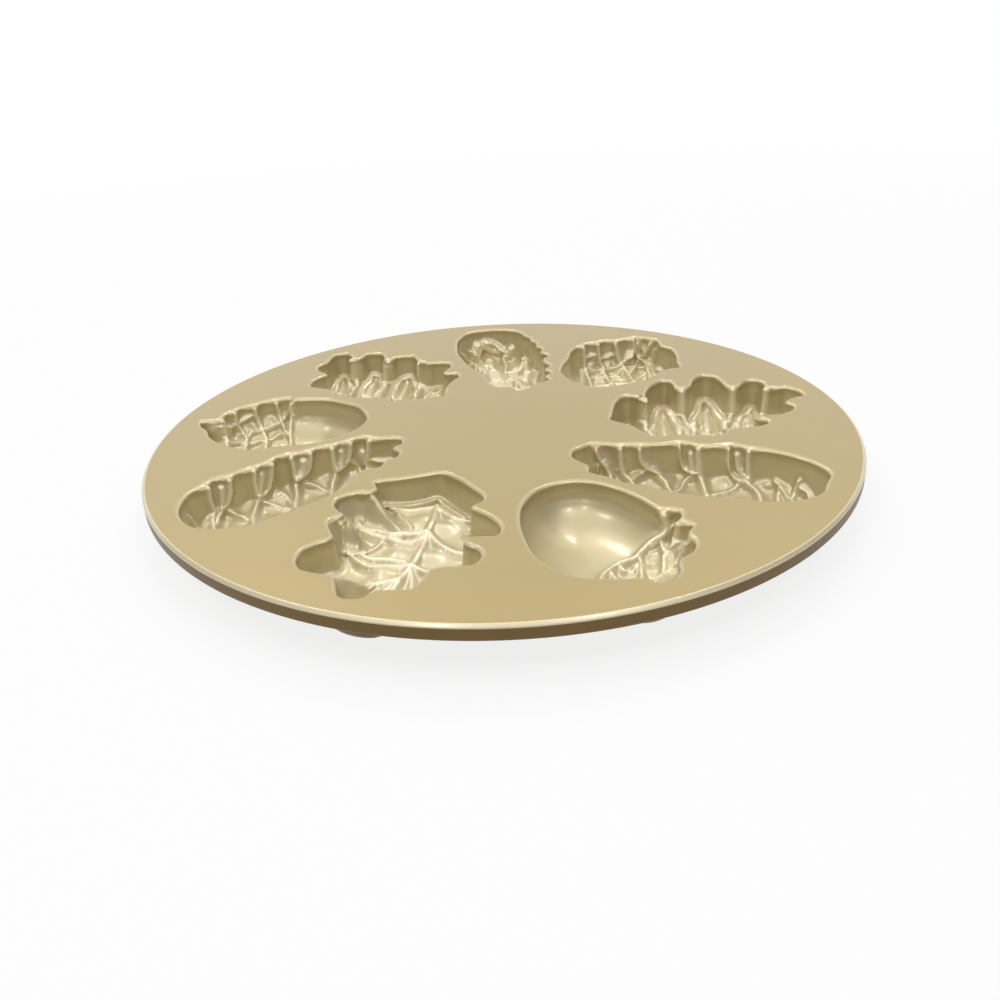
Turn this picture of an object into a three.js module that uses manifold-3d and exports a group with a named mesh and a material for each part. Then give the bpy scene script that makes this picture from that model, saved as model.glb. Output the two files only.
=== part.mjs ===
import * as THREE from 'three';
import { mergeVertices } from 'three/addons/utils/BufferGeometryUtils.js';
import Module from 'manifold-3d';

// Round cast aluminium cakelet pan: a flat deck with nine sculpted wells set in a ring.
// Millimetres, +Z up. The origin is the centre of the plane that the pan stands on.

// Deck and rim
const panDiameter = 340;
const deckThickness = 3.5;
const edgeRound = 2;
const rimHeight = 7;
const rimWidth = 6;
const rimRound = 1.2;

// Wells
const lipRound = 1.5;
const draftAngle = 5;
const deepestCavity = 21;
const floorThickness = 4;
const wallThickness = 2.5;
const rayCover = 5.5;
const wellPitch = 40;
const cutOverrun = 3;
const borderOverlap = 0.5;

// Relief patterns
const midShare = 0.5;
const narrowFootShare = 0.3;
const narrowFootSwell = 0.4;
const wideFootSwell = 0.9;

// Facets
const rimFacets = 72;
const bodyFacets = 28;

// Satin gold-coloured coat
const coatMetalness = 0.85;

const radius = panDiameter / 2;
const panHeight = deepestCavity + floorThickness;
const deckUnder = panHeight - deckThickness;
const rimUnder = panHeight - rimHeight;
const draftSlope = Math.tan(THREE.MathUtils.degToRad(draftAngle));
const wallInset = lipRound + draftSlope * (deckThickness - lipRound);

const wasm = await Module();
wasm.setup();

// A closed solid from points and triangles
function solidFrom(points, triangles) {
  const vertProperties = Float32Array.from(points.flatMap((point) => [point.x, point.y, point.z]));
  const triVerts = Uint32Array.from(triangles.flat());
  return new wasm.Manifold(new wasm.Mesh({ numProp: 3, vertProperties, triVerts }));
}

// A closed solid through rings of equal count, from the lowest ring to the highest
function loft(rings) {
  const count = rings[0].length;
  const triangles = [];
  for (let ring = 0; ring + 1 < rings.length; ring += 1) {
    for (let side = 0; side < count; side += 1) {
      const next = (side + 1) % count;
      const here = ring * count;
      const above = here + count;
      triangles.push([here + side, here + next, above + next], [here + side, above + next, above + side]);
    }
  }
  const flat = (ring) => ring.map((point) => new THREE.Vector2(point.x, point.y));
  const last = (rings.length - 1) * count;
  for (const [a, b, c] of THREE.ShapeUtils.triangulateShape(flat(rings[0]), [])) {
    triangles.push([a, c, b]);
  }
  for (const [a, b, c] of THREE.ShapeUtils.triangulateShape(flat(rings.at(-1)), [])) {
    triangles.push([last + a, last + b, last + c]);
  }
  return solidFrom(rings.flat(), triangles);
}

// A smooth closed outline through points given as shares of a length and a width
function smoothOutline({ outlineShares, length, width, facets }) {
  const corners = outlineShares.map(([along, across]) => (
    new THREE.Vector3(along * length, across * width, 0)
  ));
  const curve = new THREE.CatmullRomCurve3(corners, true);
  curve.arcLengthDivisions = facets * outlineShares.length;
  const points = curve.getSpacedPoints(facets).slice(0, facets);
  const contour = points.map((point) => new THREE.Vector2(point.x, point.y));
  return THREE.ShapeUtils.isClockWise(contour) ? contour.reverse() : contour;
}

// The outline moved inwards by an inset, square to itself
function insetOutline(outline, inset) {
  return outline.map((point, index) => {
    const before = outline.at(index - 1);
    const after = outline[(index + 1) % outline.length];
    const inward = new THREE.Vector2(before.y - after.y, after.x - before.x).normalize();
    return point.clone().addScaledVector(inward, inset);
  });
}

function ringAt(outline, inset, height) {
  return insetOutline(outline, inset).map((point) => new THREE.Vector3(point.x, point.y, height));
}

// Distance of a place from the outline, positive inside it
function insideDistance(outline, along, across) {
  const place = new THREE.Vector2(along, across);
  let nearest = Infinity;
  let inside = false;
  outline.forEach((end, index) => {
    const start = outline.at(index - 1);
    const side = end.clone().sub(start);
    const reach = THREE.MathUtils.clamp(place.clone().sub(start).dot(side) / side.lengthSq(), 0, 1);
    nearest = Math.min(nearest, place.distanceTo(start.clone().addScaledVector(side, reach)));
    const crosses = start.y > across !== end.y > across;
    if (crosses && along < start.x + (side.x * (across - start.y)) / side.y) {
      inside = !inside;
    }
  });
  return inside ? nearest : -nearest;
}

// Depth of the cavity below the deck: a steep wall that turns into the floor through a belly
function bowlDepth({ depth, wallDepth, belly }, inside) {
  const run = THREE.MathUtils.clamp(inside / belly, 0, 1);
  return wallDepth + (depth - wallDepth) * Math.sqrt(1 - (1 - run) ** 2);
}

// Height of a sculpted floor: crests stand on the bowl and the hollows between them reach its full depth
function sculpted(well, outline, along, across, crest, swell) {
  const depth = bowlDepth(well, insideDistance(outline, along, across));
  return panHeight - depth + well.crestHeight * crest + well.hollowDepth * (1 - swell);
}

// The space above a sculpted floor: grid lines placed by the motif, closed by a flat top
function reliefBlock(rows, columns, place, floorAt) {
  const points = [];
  const triangles = [];
  const at = (row, column) => row * columns.length + column;
  rows.forEach((row) => {
    columns.forEach((column) => {
      const [along, across] = place(row, column);
      points.push(new THREE.Vector3(along, across, floorAt(along, across, row, column)));
    });
  });
  for (let row = 1; row < rows.length; row += 1) {
    for (let column = 1; column < columns.length; column += 1) {
      const corner = at(row, column);
      const back = at(row - 1, column - 1);
      triangles.push([back, corner, at(row, column - 1)], [back, at(row - 1, column), corner]);
    }
  }
  const border = [];
  rows.forEach((_, row) => border.push(at(row, 0)));
  columns.slice(1).forEach((_, column) => border.push(at(rows.length - 1, column + 1)));
  rows.slice(1).forEach((_, row) => border.push(at(rows.length - row - 2, columns.length - 1)));
  columns.slice(2).forEach((_, column) => border.push(at(0, columns.length - column - 2)));
  const top = points.length;
  border.forEach((index) => points.push(points[index].clone().setZ(panHeight + cutOverrun)));
  const middle = points.length;
  points.push(points[at(rows.length >> 1, columns.length >> 1)].clone().setZ(panHeight + cutOverrun));
  border.forEach((index, step) => {
    const next = (step + 1) % border.length;
    triangles.push([index, border[next], top + next], [index, top + next, top + step]);
    triangles.push([top + step, top + next, middle]);
  });
  return solidFrom(points, triangles);
}

// Grid lines of a pattern that repeats once per cell: a crest and its foot on each side.
// Feet close to their crests leave room for a line midway, where the hollow is deepest.
function patternLines(cells, footShare) {
  const narrow = footShare < narrowFootShare;
  const foot = { crest: 0, swell: narrow ? narrowFootSwell : wideFootSwell };
  const lines = [];
  for (let cell = -cells; cell < cells; cell += 1) {
    lines.push({ at: cell, crest: 1, swell: 0 }, { ...foot, at: cell + footShare });
    if (narrow) {
      lines.push({ at: cell + midShare, crest: 0, swell: 1 });
    }
    lines.push({ ...foot, at: cell + 1 - footShare });
  }
  lines.push({ at: cells, crest: 1, swell: 0 });
  return lines;
}

// Rhombs of overlapping scales: two families of crests cross, and each rhomb is hollow between them
function scaleFloor(well, outline) {
  const cells = Math.ceil(well.length / well.scaleLength + well.width / well.scaleWidth) / 2;
  const lines = patternLines(Math.ceil(cells), well.footShare);
  const place = (row, column) => [
    ((row.at + column.at) * well.scaleLength) / 2 + well.scaleShift,
    ((row.at - column.at) * well.scaleWidth) / 2,
  ];
  const floorAt = (along, across, row, column) => {
    const crest = Math.max(row.crest, column.crest);
    return sculpted(well, outline, along, across, crest, row.swell * column.swell);
  };
  return reliefBlock(lines, lines.slice().reverse(), place, floorAt);
}

// A main vein along the motif with side veins that leave it at a slant
function veinFloor(well, outline) {
  const rows = patternLines(Math.ceil(well.length / well.veinPitch / 2) + 1, well.footShare);
  const halfColumns = Math.ceil(well.width / well.veinPitch);
  const columns = patternLines(halfColumns, well.footShare)
    .filter((line) => line.crest === 0 || line.at === 0);
  const place = (row, column) => {
    const across = column.at * well.veinPitch;
    return [row.at * well.veinPitch + well.veinShift + Math.abs(across) * well.veinSlope, across];
  };
  const floorAt = (along, across, row, column) => {
    const main = column.at === 0 ? 1 : 0;
    return sculpted(well, outline, along, across, Math.max(row.crest, main), row.swell * (1 - main));
  };
  return reliefBlock(rows, columns, place, floorAt);
}

// Long pointed scales side by side across the motif, each with a raised edge
function archFloor(well, outline) {
  const rows = patternLines(Math.ceil(well.length / well.scaleLength / 2), well.footShare);
  const columns = patternLines(Math.ceil(well.width / well.scaleWidth / 2), well.footShare);
  const place = (row, column) => [
    row.at * well.scaleLength + well.scaleShift + column.at * well.scaleLean,
    column.at * well.scaleWidth,
  ];
  const floorAt = (along, across, row, column) => {
    return sculpted(well, outline, along, across, Math.max(row.crest, column.crest / 2), row.swell);
  };
  return reliefBlock(rows, columns, place, floorAt);
}

// The smooth belly of a nut
function nutFloor(well, outline) {
  const cells = Math.ceil(well.length / well.nutStep / 2);
  const across = Math.ceil(well.width / well.nutStep / 2);
  const lines = (count) => Array.from({ length: 2 * count + 1 }, (_, index) => index - count);
  const place = (row, column) => [row * well.nutStep, column * well.nutStep];
  const floorAt = (along, acrossAt) => {
    const inside = insideDistance(outline, along, acrossAt);
    return panHeight - bowlDepth({ ...well, belly: well.nutBelly }, inside);
  };
  return reliefBlock(lines(cells), lines(across), place, floorAt);
}

// A slab of the motif between two lines across it, both with the border's lean
function slab(well, from, to) {
  const reach = well.length;
  const corners = (height) => [
    new THREE.Vector3(from + well.borderLean, -reach, height),
    new THREE.Vector3(to + well.borderLean, -reach, height),
    new THREE.Vector3(to - well.borderLean, reach, height),
    new THREE.Vector3(from - well.borderLean, reach, height),
  ];
  return loft([corners(0), corners(panHeight + cutOverrun)]);
}

// A nut held in its cap: the scales of the cap sink deeper than the nut, from the border outwards
function cappedFloor(well, outline) {
  const border = well.borderShare * well.length;
  const nut = nutFloor({ ...well, depth: well.nutDepth }, outline);
  const cap = scaleFloor(well, outline);
  return nut.intersect(slab(well, -well.length, border + borderOverlap))
    .add(cap.intersect(slab(well, border, well.length)));
}

// Rays around a spine along the motif, evenly spaced round a track with round ends
function spineRays(well) {
  const spine = Math.max(well.length - well.width, 0) / 2;
  const straight = 2 * spine;
  const halfRound = (Math.PI * well.width) / 2;
  const half = straight + halfRound;
  return Array.from({ length: bodyFacets }, (_, index) => {
    const walk = (index / bodyFacets) * 2 * half;
    const side = walk < half ? 1 : -1;
    const onSide = walk % half;
    const turn = Math.max(onSide - straight, 0) / halfRound;
    const angle = (turn - (side > 0 ? 0.5 : -0.5)) * Math.PI;
    return {
      start: new THREE.Vector2(side * (Math.min(onSide, straight) - spine), 0),
      away: new THREE.Vector2(Math.cos(angle), Math.sin(angle)),
    };
  });
}

// The outside of a well: a wall outside the cavity, drawn in through a belly to a flat foot
function wellBody(well, outline) {
  const cavity = insetOutline(outline, wallInset);
  const rays = spineRays(well);
  const reaches = rays.map(({ start, away }) => {
    const beside = cavity
      .map((point) => point.clone().sub(start))
      .filter((offset) => Math.abs(offset.cross(away)) < rayCover);
    return Math.max(...beside.map((offset) => offset.dot(away))) + wallThickness;
  });
  const ring = (inset, height) => rays.map(({ start, away }, index) => {
    const point = start.clone().addScaledVector(away, reaches[index] - inset);
    return new THREE.Vector3(point.x, point.y, height);
  });
  const foot = deepestCavity - well.depth;
  const bend = (angle) => ring(
    draftSlope * (deckUnder - foot - well.footBelly) + well.footBelly * (1 - Math.cos(angle)),
    foot + well.footBelly * (1 - Math.sin(angle)),
  );
  return loft([bend(Math.PI / 2), bend(Math.PI / 4), bend(0), ring(0, deckUnder)]);
}

// The drafted hollow inside the outline, from above the deck to below the floor
function wellHollow(well, outline) {
  return loft([
    ringAt(outline, wallInset + draftSlope * deckUnder, 0),
    ringAt(outline, lipRound, panHeight - lipRound),
    ringAt(outline, lipRound, panHeight + cutOverrun),
  ]);
}

// The hole in the deck over a well, with its rounded lip
function deckHole(well) {
  const outline = smoothOutline(well);
  const hole = loft([
    ringAt(outline, lipRound + draftSlope * (deckThickness + cutOverrun), deckUnder - cutOverrun),
    ringAt(outline, lipRound, panHeight - lipRound),
    ringAt(outline, 0, panHeight),
    ringAt(outline, 0, panHeight + cutOverrun),
  ]);
  return hole.rotate([0, 0, well.axis]).translate([...wellPlace(well), 0]);
}

function wellPlace(well) {
  const bearing = THREE.MathUtils.degToRad(well.seat * wellPitch + well.bearingShift);
  return [well.reach * Math.cos(bearing), well.reach * Math.sin(bearing)];
}

function wellShell(well) {
  const outline = smoothOutline(well);
  const space = wellHollow(well, outline).intersect(well.floor(well, outline));
  return wellBody(well, outline).subtract(space);
}

// Motifs: axis is the direction of the motif's length, reach and seat place it in the ring of wells.
// The layout in plan goes with the pan's diameter, so reach, length and width are shares of it.
const leaf = {
  name: 'leaf_well', floor: veinFloor, facets: 62,
  seat: 6, bearingShift: 7.2, reachShare: 0.3109, axis: 264,
  lengthShare: 0.3118, widthShare: 0.2353, depth: 16, wallDepth: 11, belly: 6, footBelly: 7,
  veinPitch: 24, veinSlope: 0.8, veinShift: 5, footShare: 0.12, crestHeight: 2, hollowDepth: 1,
  outlineShares: [
    [-0.50, 0.10], [-0.44, 0.21], [-0.36, 0.30], [-0.27, 0.38], [-0.22, 0.37], [-0.18, 0.32], [-0.16, 0.35],
    [-0.10, 0.44], [-0.02, 0.50], [0.05, 0.48], [0.06, 0.40], [0.07, 0.33], [0.11, 0.34], [0.14, 0.40],
    [0.19, 0.43], [0.26, 0.40], [0.28, 0.34], [0.29, 0.24], [0.31, 0.19], [0.35, 0.18], [0.43, 0.13],
    [0.44, 0.04], [0.45, -0.04], [0.49, -0.08], [0.50, -0.15], [0.47, -0.22], [0.41, -0.25], [0.35, -0.28],
    [0.33, -0.36], [0.30, -0.45], [0.23, -0.50], [0.16, -0.49], [0.11, -0.43], [0.07, -0.37], [0.01, -0.40],
    [-0.05, -0.43], [-0.10, -0.40], [-0.11, -0.36], [-0.15, -0.40], [-0.20, -0.44], [-0.24, -0.45],
    [-0.28, -0.40], [-0.31, -0.32], [-0.31, -0.25], [-0.35, -0.24], [-0.39, -0.28], [-0.42, -0.27],
    [-0.44, -0.19], [-0.47, -0.05],
  ],
};

const hazelnut = {
  name: 'hazelnut_well', floor: cappedFloor, facets: 40,
  seat: 7, bearingShift: 10.9, reachShare: 0.3318, axis: 286,
  lengthShare: 0.2735, widthShare: 0.2029, depth: deepestCavity, wallDepth: 13, belly: 8, footBelly: 11,
  nutDepth: 21, nutBelly: 24, nutStep: 7, borderShare: 0.22, borderLean: 18,
  scaleLength: 16, scaleWidth: 18, scaleShift: 0, footShare: 0.34, crestHeight: 2, hollowDepth: 1,
  outlineShares: [
    [-0.22, -0.45], [-0.36, -0.37], [-0.47, -0.22], [-0.50, -0.03], [-0.46, 0.13], [-0.35, 0.26],
    [-0.22, 0.34], [-0.09, 0.40], [-0.05, 0.49], [0, 0.49], [0.05, 0.46], [0.11, 0.49], [0.16, 0.43],
    [0.24, 0.42], [0.31, 0.35], [0.35, 0.25], [0.44, 0.19], [0.50, 0.08], [0.47, 0.01], [0.42, -0.06],
    [0.41, -0.14], [0.38, -0.22], [0.34, -0.32], [0.28, -0.40], [0.18, -0.45], [0.09, -0.50], [-0.07, -0.48],
  ],
};

const longConeLeft = {
  name: 'long_cone_well_left', floor: scaleFloor, facets: 46,
  seat: 5, bearingShift: 6.2, reachShare: 0.2994, axis: 209,
  lengthShare: 0.3341, widthShare: 0.1782, depth: deepestCavity, wallDepth: 12, belly: 12, footBelly: 9,
  scaleLength: 14.5, scaleWidth: 28, scaleShift: 0, footShare: 0.34, crestHeight: 1.8, hollowDepth: 1,
  outlineShares: [
    [0.47, -0.14], [0.43, -0.24], [0.37, -0.31], [0.31, -0.38], [0.24, -0.38], [0.17, -0.41], [0.09, -0.44],
    [0, -0.50], [-0.08, -0.47], [-0.16, -0.48], [-0.23, -0.46], [-0.31, -0.47], [-0.37, -0.46],
    [-0.41, -0.37], [-0.47, -0.30], [-0.50, -0.22], [-0.48, -0.13], [-0.43, -0.09], [-0.44, 0],
    [-0.40, 0.08], [-0.35, 0.09], [-0.31, 0.17], [-0.23, 0.16], [-0.16, 0.27], [-0.06, 0.38], [0.10, 0.47],
    [0.18, 0.49], [0.28, 0.50], [0.42, 0.42], [0.47, 0.34], [0.50, 0.20], [0.50, 0.02],
  ],
};

const longConeRight = {
  ...longConeLeft,
  name: 'long_cone_well_right',
  seat: 8, bearingShift: 8.1, reachShare: 0.2962, axis: 343,
  lengthShare: 0.3432, widthShare: 0.1685,
  outlineShares: [
    [-0.50, 0.11], [-0.47, 0.21], [-0.43, 0.31], [-0.33, 0.33], [-0.25, 0.37], [-0.16, 0.39], [-0.08, 0.47],
    [0.02, 0.43], [0.12, 0.50], [0.19, 0.45], [0.29, 0.41], [0.38, 0.33], [0.45, 0.23], [0.50, 0.08],
    [0.49, -0.08], [0.47, -0.26], [0.41, -0.40], [0.36, -0.45], [0.27, -0.50], [0.18, -0.49], [0.09, -0.50],
    [0, -0.49], [-0.09, -0.45], [-0.17, -0.40], [-0.24, -0.38], [-0.30, -0.31], [-0.36, -0.28],
    [-0.40, -0.24], [-0.41, -0.12], [-0.45, -0.07], [-0.49, 0.01],
  ],
};

const acorn = {
  name: 'acorn_well', floor: cappedFloor, facets: 42,
  seat: 4, bearingShift: 8.2, reachShare: 0.3365, axis: 177,
  lengthShare: 0.2615, widthShare: 0.2056, depth: deepestCavity, wallDepth: 11, belly: 12, footBelly: 11,
  nutDepth: 19, nutBelly: 24, nutStep: 7, borderShare: 0, borderLean: -8,
  scaleLength: 15, scaleWidth: 20, scaleShift: 0, footShare: 0.34, crestHeight: 1.8, hollowDepth: 1,
  outlineShares: [
    [0.50, -0.05], [0.41, -0.08], [0.39, -0.19], [0.33, -0.29], [0.24, -0.38], [0.16, -0.45], [0.05, -0.50],
    [0.01, -0.43], [-0.08, -0.44], [-0.20, -0.43], [-0.31, -0.36], [-0.42, -0.26], [-0.48, -0.13],
    [-0.50, 0], [-0.46, 0.17], [-0.37, 0.31], [-0.28, 0.39], [-0.13, 0.44], [-0.04, 0.46], [0.04, 0.50],
    [0.14, 0.48], [0.26, 0.41], [0.38, 0.25], [0.44, 0.11], [0.48, 0.05],
  ],
};

const openConeLeft = {
  name: 'open_cone_well_left', floor: archFloor, facets: 52,
  seat: 3, bearingShift: 7.3, reachShare: 0.3179, axis: 164,
  lengthShare: 0.2644, widthShare: 0.2262, depth: 19, wallDepth: 11, belly: 9, footBelly: 8,
  scaleLength: 19, scaleWidth: 24, scaleShift: 4, scaleLean: 3,
  footShare: 0.2, crestHeight: 2.4, hollowDepth: 1.2,
  outlineShares: [
    [0.49, -0.37], [0.45, -0.44], [0.35, -0.41], [0.31, -0.41], [0.25, -0.50], [0.16, -0.48], [0.08, -0.42],
    [0.01, -0.49], [-0.08, -0.45], [-0.16, -0.39], [-0.21, -0.33], [-0.29, -0.37], [-0.35, -0.34],
    [-0.37, -0.23], [-0.38, -0.09], [-0.44, -0.13], [-0.49, -0.07], [-0.48, 0.05], [-0.48, 0.19],
    [-0.50, 0.34], [-0.44, 0.38], [-0.37, 0.43], [-0.26, 0.46], [-0.22, 0.50], [-0.16, 0.45], [-0.04, 0.46],
    [0.06, 0.47], [0.11, 0.43], [0.17, 0.44], [0.22, 0.36], [0.29, 0.34], [0.37, 0.32], [0.42, 0.23],
    [0.40, 0.11], [0.38, 0.05], [0.46, -0.02], [0.50, -0.11], [0.48, -0.19],
  ],
};

const openConeRight = {
  ...openConeLeft,
  name: 'open_cone_well_right',
  seat: 0, bearingShift: 11, reachShare: 0.3141, axis: 10,
  lengthShare: 0.3126, widthShare: 0.2385, scaleShift: 0, scaleLean: -5,
  outlineShares: [
    [-0.50, -0.08], [-0.47, 0.03], [-0.44, 0.15], [-0.37, 0.26], [-0.30, 0.29], [-0.26, 0.23], [-0.23, 0.35],
    [-0.15, 0.46], [-0.08, 0.48], [-0.05, 0.38], [0, 0.36], [0.03, 0.39], [0.07, 0.48], [0.13, 0.50],
    [0.18, 0.44], [0.20, 0.29], [0.25, 0.29], [0.32, 0.31], [0.38, 0.23], [0.38, 0.15], [0.45, 0.13],
    [0.50, 0.01], [0.49, -0.06], [0.43, -0.08], [0.37, -0.13], [0.39, -0.20], [0.34, -0.28], [0.27, -0.31],
    [0.19, -0.30], [0.20, -0.38], [0.15, -0.43], [0.08, -0.44], [0, -0.43], [-0.09, -0.50], [-0.15, -0.47],
    [-0.21, -0.45], [-0.27, -0.42], [-0.37, -0.39], [-0.40, -0.31], [-0.43, -0.20],
  ],
};

const ovalCone = {
  name: 'oval_cone_well', floor: scaleFloor, facets: 40,
  seat: 2, bearingShift: 8.5, reachShare: 0.3106, axis: 96,
  lengthShare: 0.33, widthShare: 0.1521, depth: deepestCavity, wallDepth: 11, belly: 10, footBelly: 9,
  scaleLength: 22, scaleWidth: 22, scaleShift: 4, footShare: 0.34, crestHeight: 2.4, hollowDepth: 1.2,
  outlineShares: [
    [0.24, 0.49], [0.36, 0.45], [0.45, 0.34], [0.49, 0.17], [0.50, -0.03], [0.46, -0.23], [0.38, -0.37],
    [0.29, -0.45], [0.18, -0.49], [0.05, -0.50], [-0.07, -0.48], [-0.20, -0.43], [-0.32, -0.41],
    [-0.40, -0.35], [-0.43, -0.24], [-0.46, -0.18], [-0.50, -0.03], [-0.44, 0.04], [-0.43, 0.18],
    [-0.35, 0.25], [-0.23, 0.29], [-0.11, 0.40], [0.04, 0.47], [0.14, 0.50],
  ],
};

const closedCone = {
  ...acorn,
  name: 'closed_cone_well',
  seat: 1, bearingShift: 12.8, reachShare: 0.3347, axis: 10,
  lengthShare: 0.2159, widthShare: 0.2282, borderShare: -0.34, borderLean: 0,
  scaleLength: 18, scaleWidth: 24, scaleShift: -4,
  outlineShares: [
    [-0.50, -0.09], [-0.45, 0.05], [-0.36, 0.20], [-0.29, 0.35], [-0.17, 0.45], [-0.06, 0.48], [0.06, 0.49],
    [0.18, 0.47], [0.30, 0.50], [0.39, 0.46], [0.46, 0.37], [0.45, 0.22], [0.50, 0.14], [0.49, 0.01],
    [0.44, -0.14], [0.41, -0.27], [0.25, -0.30], [0.18, -0.38], [0.04, -0.45], [-0.08, -0.48],
    [-0.23, -0.50], [-0.34, -0.47], [-0.41, -0.39], [-0.47, -0.27],
  ],
};

const motifs = [
  leaf, hazelnut, longConeRight, openConeRight, closedCone, ovalCone, openConeLeft, acorn, longConeLeft,
];

const wells = motifs.map((motif) => ({
  ...motif,
  reach: motif.reachShare * panDiameter,
  length: motif.lengthShare * panDiameter,
  width: motif.widthShare * panDiameter,
}));

function circle(size, height) {
  return Array.from({ length: rimFacets }, (_, index) => {
    const angle = (index / rimFacets) * 2 * Math.PI;
    return new THREE.Vector3(size * Math.cos(angle), size * Math.sin(angle), height);
  });
}

// The flat deck: a disc with a rounded top edge and a lipped hole over each well
function deckPlate() {
  const cut = edgeRound * (1 - Math.SQRT1_2);
  const disc = loft([
    circle(radius, deckUnder),
    circle(radius, panHeight - edgeRound),
    circle(radius - cut, panHeight - cut),
    circle(radius - edgeRound, panHeight),
  ]);
  return wells.reduce((deck, well) => deck.subtract(deckHole(well)), disc);
}

// The turned-down rim under the edge of the deck
function rimBead() {
  const inner = radius - rimWidth;
  const section = [
    new THREE.Vector2(inner, deckUnder),
    new THREE.Vector2(inner, rimUnder + rimRound),
    new THREE.Vector2(inner + rimRound, rimUnder),
    new THREE.Vector2(radius - rimRound, rimUnder),
    new THREE.Vector2(radius, rimUnder + rimRound),
    new THREE.Vector2(radius, deckUnder),
    new THREE.Vector2(inner, deckUnder),
  ];
  const bead = new THREE.LatheGeometry(section, rimFacets).rotateX(Math.PI / 2);
  return mergeVertices(bead.deleteAttribute('normal').deleteAttribute('uv'));
}

function geometryOf(solid) {
  const mesh = solid.getMesh();
  const geometry = new THREE.BufferGeometry();
  geometry.setAttribute('position', new THREE.BufferAttribute(mesh.vertProperties, mesh.numProp));
  geometry.setIndex(new THREE.BufferAttribute(mesh.triVerts, 1));
  return geometry;
}

const pan = new THREE.Group();

function addPiece(name, geometry, colour, roughness) {
  const material = new THREE.MeshStandardMaterial({ color: colour, roughness, metalness: coatMetalness });
  const piece = new THREE.Mesh(geometry, material);
  piece.name = name;
  pan.add(piece);
  return piece;
}

addPiece('deck_plate', geometryOf(deckPlate()), 0xcdb98c, 0.42);
addPiece('rim_bead', rimBead(), 0xb9a67c, 0.45);
for (const well of wells) {
  const piece = addPiece(well.name, geometryOf(wellShell(well)), 0xd2c294, 0.35);
  piece.position.set(...wellPlace(well), 0);
  piece.rotation.z = THREE.MathUtils.degToRad(well.axis);
}

export default pan;
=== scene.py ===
from math import ceil, cos, pi, radians, sin, tan

import bmesh
import bpy
import numpy as np
from bpy.props import FloatProperty, FloatVectorProperty, IntProperty, PointerProperty, StringProperty
from mathutils import Matrix, Vector
from mathutils.geometry import delaunay_2d_cdt


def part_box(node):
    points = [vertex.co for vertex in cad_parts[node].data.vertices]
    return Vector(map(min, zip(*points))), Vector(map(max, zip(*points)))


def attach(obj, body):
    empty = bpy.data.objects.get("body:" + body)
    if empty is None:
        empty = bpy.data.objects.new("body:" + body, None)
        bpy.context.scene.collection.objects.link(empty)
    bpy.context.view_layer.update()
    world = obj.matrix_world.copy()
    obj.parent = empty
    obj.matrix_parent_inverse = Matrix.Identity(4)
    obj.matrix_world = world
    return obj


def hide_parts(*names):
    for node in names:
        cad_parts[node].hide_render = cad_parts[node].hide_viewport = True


bl_info = {
    "name": "Cakelet Pan",
    "version": (1, 0, 0),
    "blender": (4, 5, 0),
    "location": "3D View > Sidebar > Cakelet Pan",
    "description": "A cast aluminium cakelet pan with nine sculpted wells, and a plain studio stage",
    "category": "Object",
}

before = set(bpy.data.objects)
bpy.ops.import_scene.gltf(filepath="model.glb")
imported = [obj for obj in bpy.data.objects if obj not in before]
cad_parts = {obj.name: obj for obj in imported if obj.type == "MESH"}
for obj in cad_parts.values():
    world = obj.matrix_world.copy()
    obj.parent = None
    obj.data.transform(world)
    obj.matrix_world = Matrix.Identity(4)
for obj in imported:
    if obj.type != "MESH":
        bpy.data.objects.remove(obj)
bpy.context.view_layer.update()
DECK_LOW, DECK_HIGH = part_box("deck_plate")
RIM_LOW, RIM_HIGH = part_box("rim_bead")

# Shapes are worked out in millimetres and stored in metres
MM = 0.001
BODY = "root"

RADIUS = DECK_HIGH.x / MM
TOP = DECK_HIGH.z / MM
DECK_UNDER = DECK_LOW.z / MM
RIM_UNDER = RIM_LOW.z / MM
DEEPEST = 21

# Around a cavity: how far its lip spreads past the listed outline, and the flat border beyond the lip
LIP_SPREAD = 0.9
FLAT_BORDER = 0.25

# A tongue's sloping sides: the rounding of its back, and mm down for each mm across
TONGUE_ROUND = 1.6
TONGUE_SLOPE = 2.2

# Distance between points along a crest's or a tongue's course
COURSE_STEP = 0.4

# Painted highlight: its half-width on a crest, and its depth below the deck on a lip
PAINTED_HIGHLIGHT_HALF_WIDTH = 0.85
PAINTED_HIGHLIGHT_LIP_DEPTH = 0.7

# A crest or a swell this high, in mm, gets the full painted highlight
PAINTED_HIGHLIGHT_CREST_HEIGHT = 2.2
PAINTED_HIGHLIGHT_SWELL_HEIGHT = 2

# Shares of the full painted highlight on a small mound, along a lip and along the pan's edge
PAINTED_HIGHLIGHT_STUD_SHARE = 0.35
PAINTED_HIGHLIGHT_LIP_SHARE = 0.75
PAINTED_HIGHLIGHT_EDGE_SHARE = 0.8

# Relief is left out this near the deck and grows to its full height over the next mm
RELIEF_START = 0.1
RELIEF_GROWTH = 2.2

# The relief is smoothed once it is deeper than this below the deck
SMOOTHED_BELOW = 2.5

# The well's outside: rays round it, the half-width that each ray looks over, and rounds of smoothing
BODY_RAYS = 112
RAY_REACH = 5.5
BODY_SMOOTHING = 6

# The rim: the rounding of its lower corners, and how far past a corner of the section its painted highlight
# and painted shade fade
RIM_ROUND = 1.2
EDGE_FADE = 0.6

# Round ceiling lamps, in metres, whose glints show in the smooth bowls
LAMP_PLACES = (
    (0.56, -0.92, 1.5), (-1.24, -0.09, 1.5), (0.52, 0.96, 1.5), (-0.56, 1.19, 1.5), (-0.55, -1.14, 1.5),
)
LAMP_SIZE = (0.3, 0.3)

# The overhead panel and the front strip, in metres: size, place, and the place that each faces
OVERHEAD = ((2, 2), (0, 0.3, 1.6), (0, 0.3, 0))
FRONT_STRIP = ((2.5, 0.35), (0, -0.85, 1.6), (0, 0, 0))

# Share of the clear top coat's shine inside the pan and on its outside
GLOSS = 0.6
OUTSIDE_GLOSS = 0.05

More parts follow.
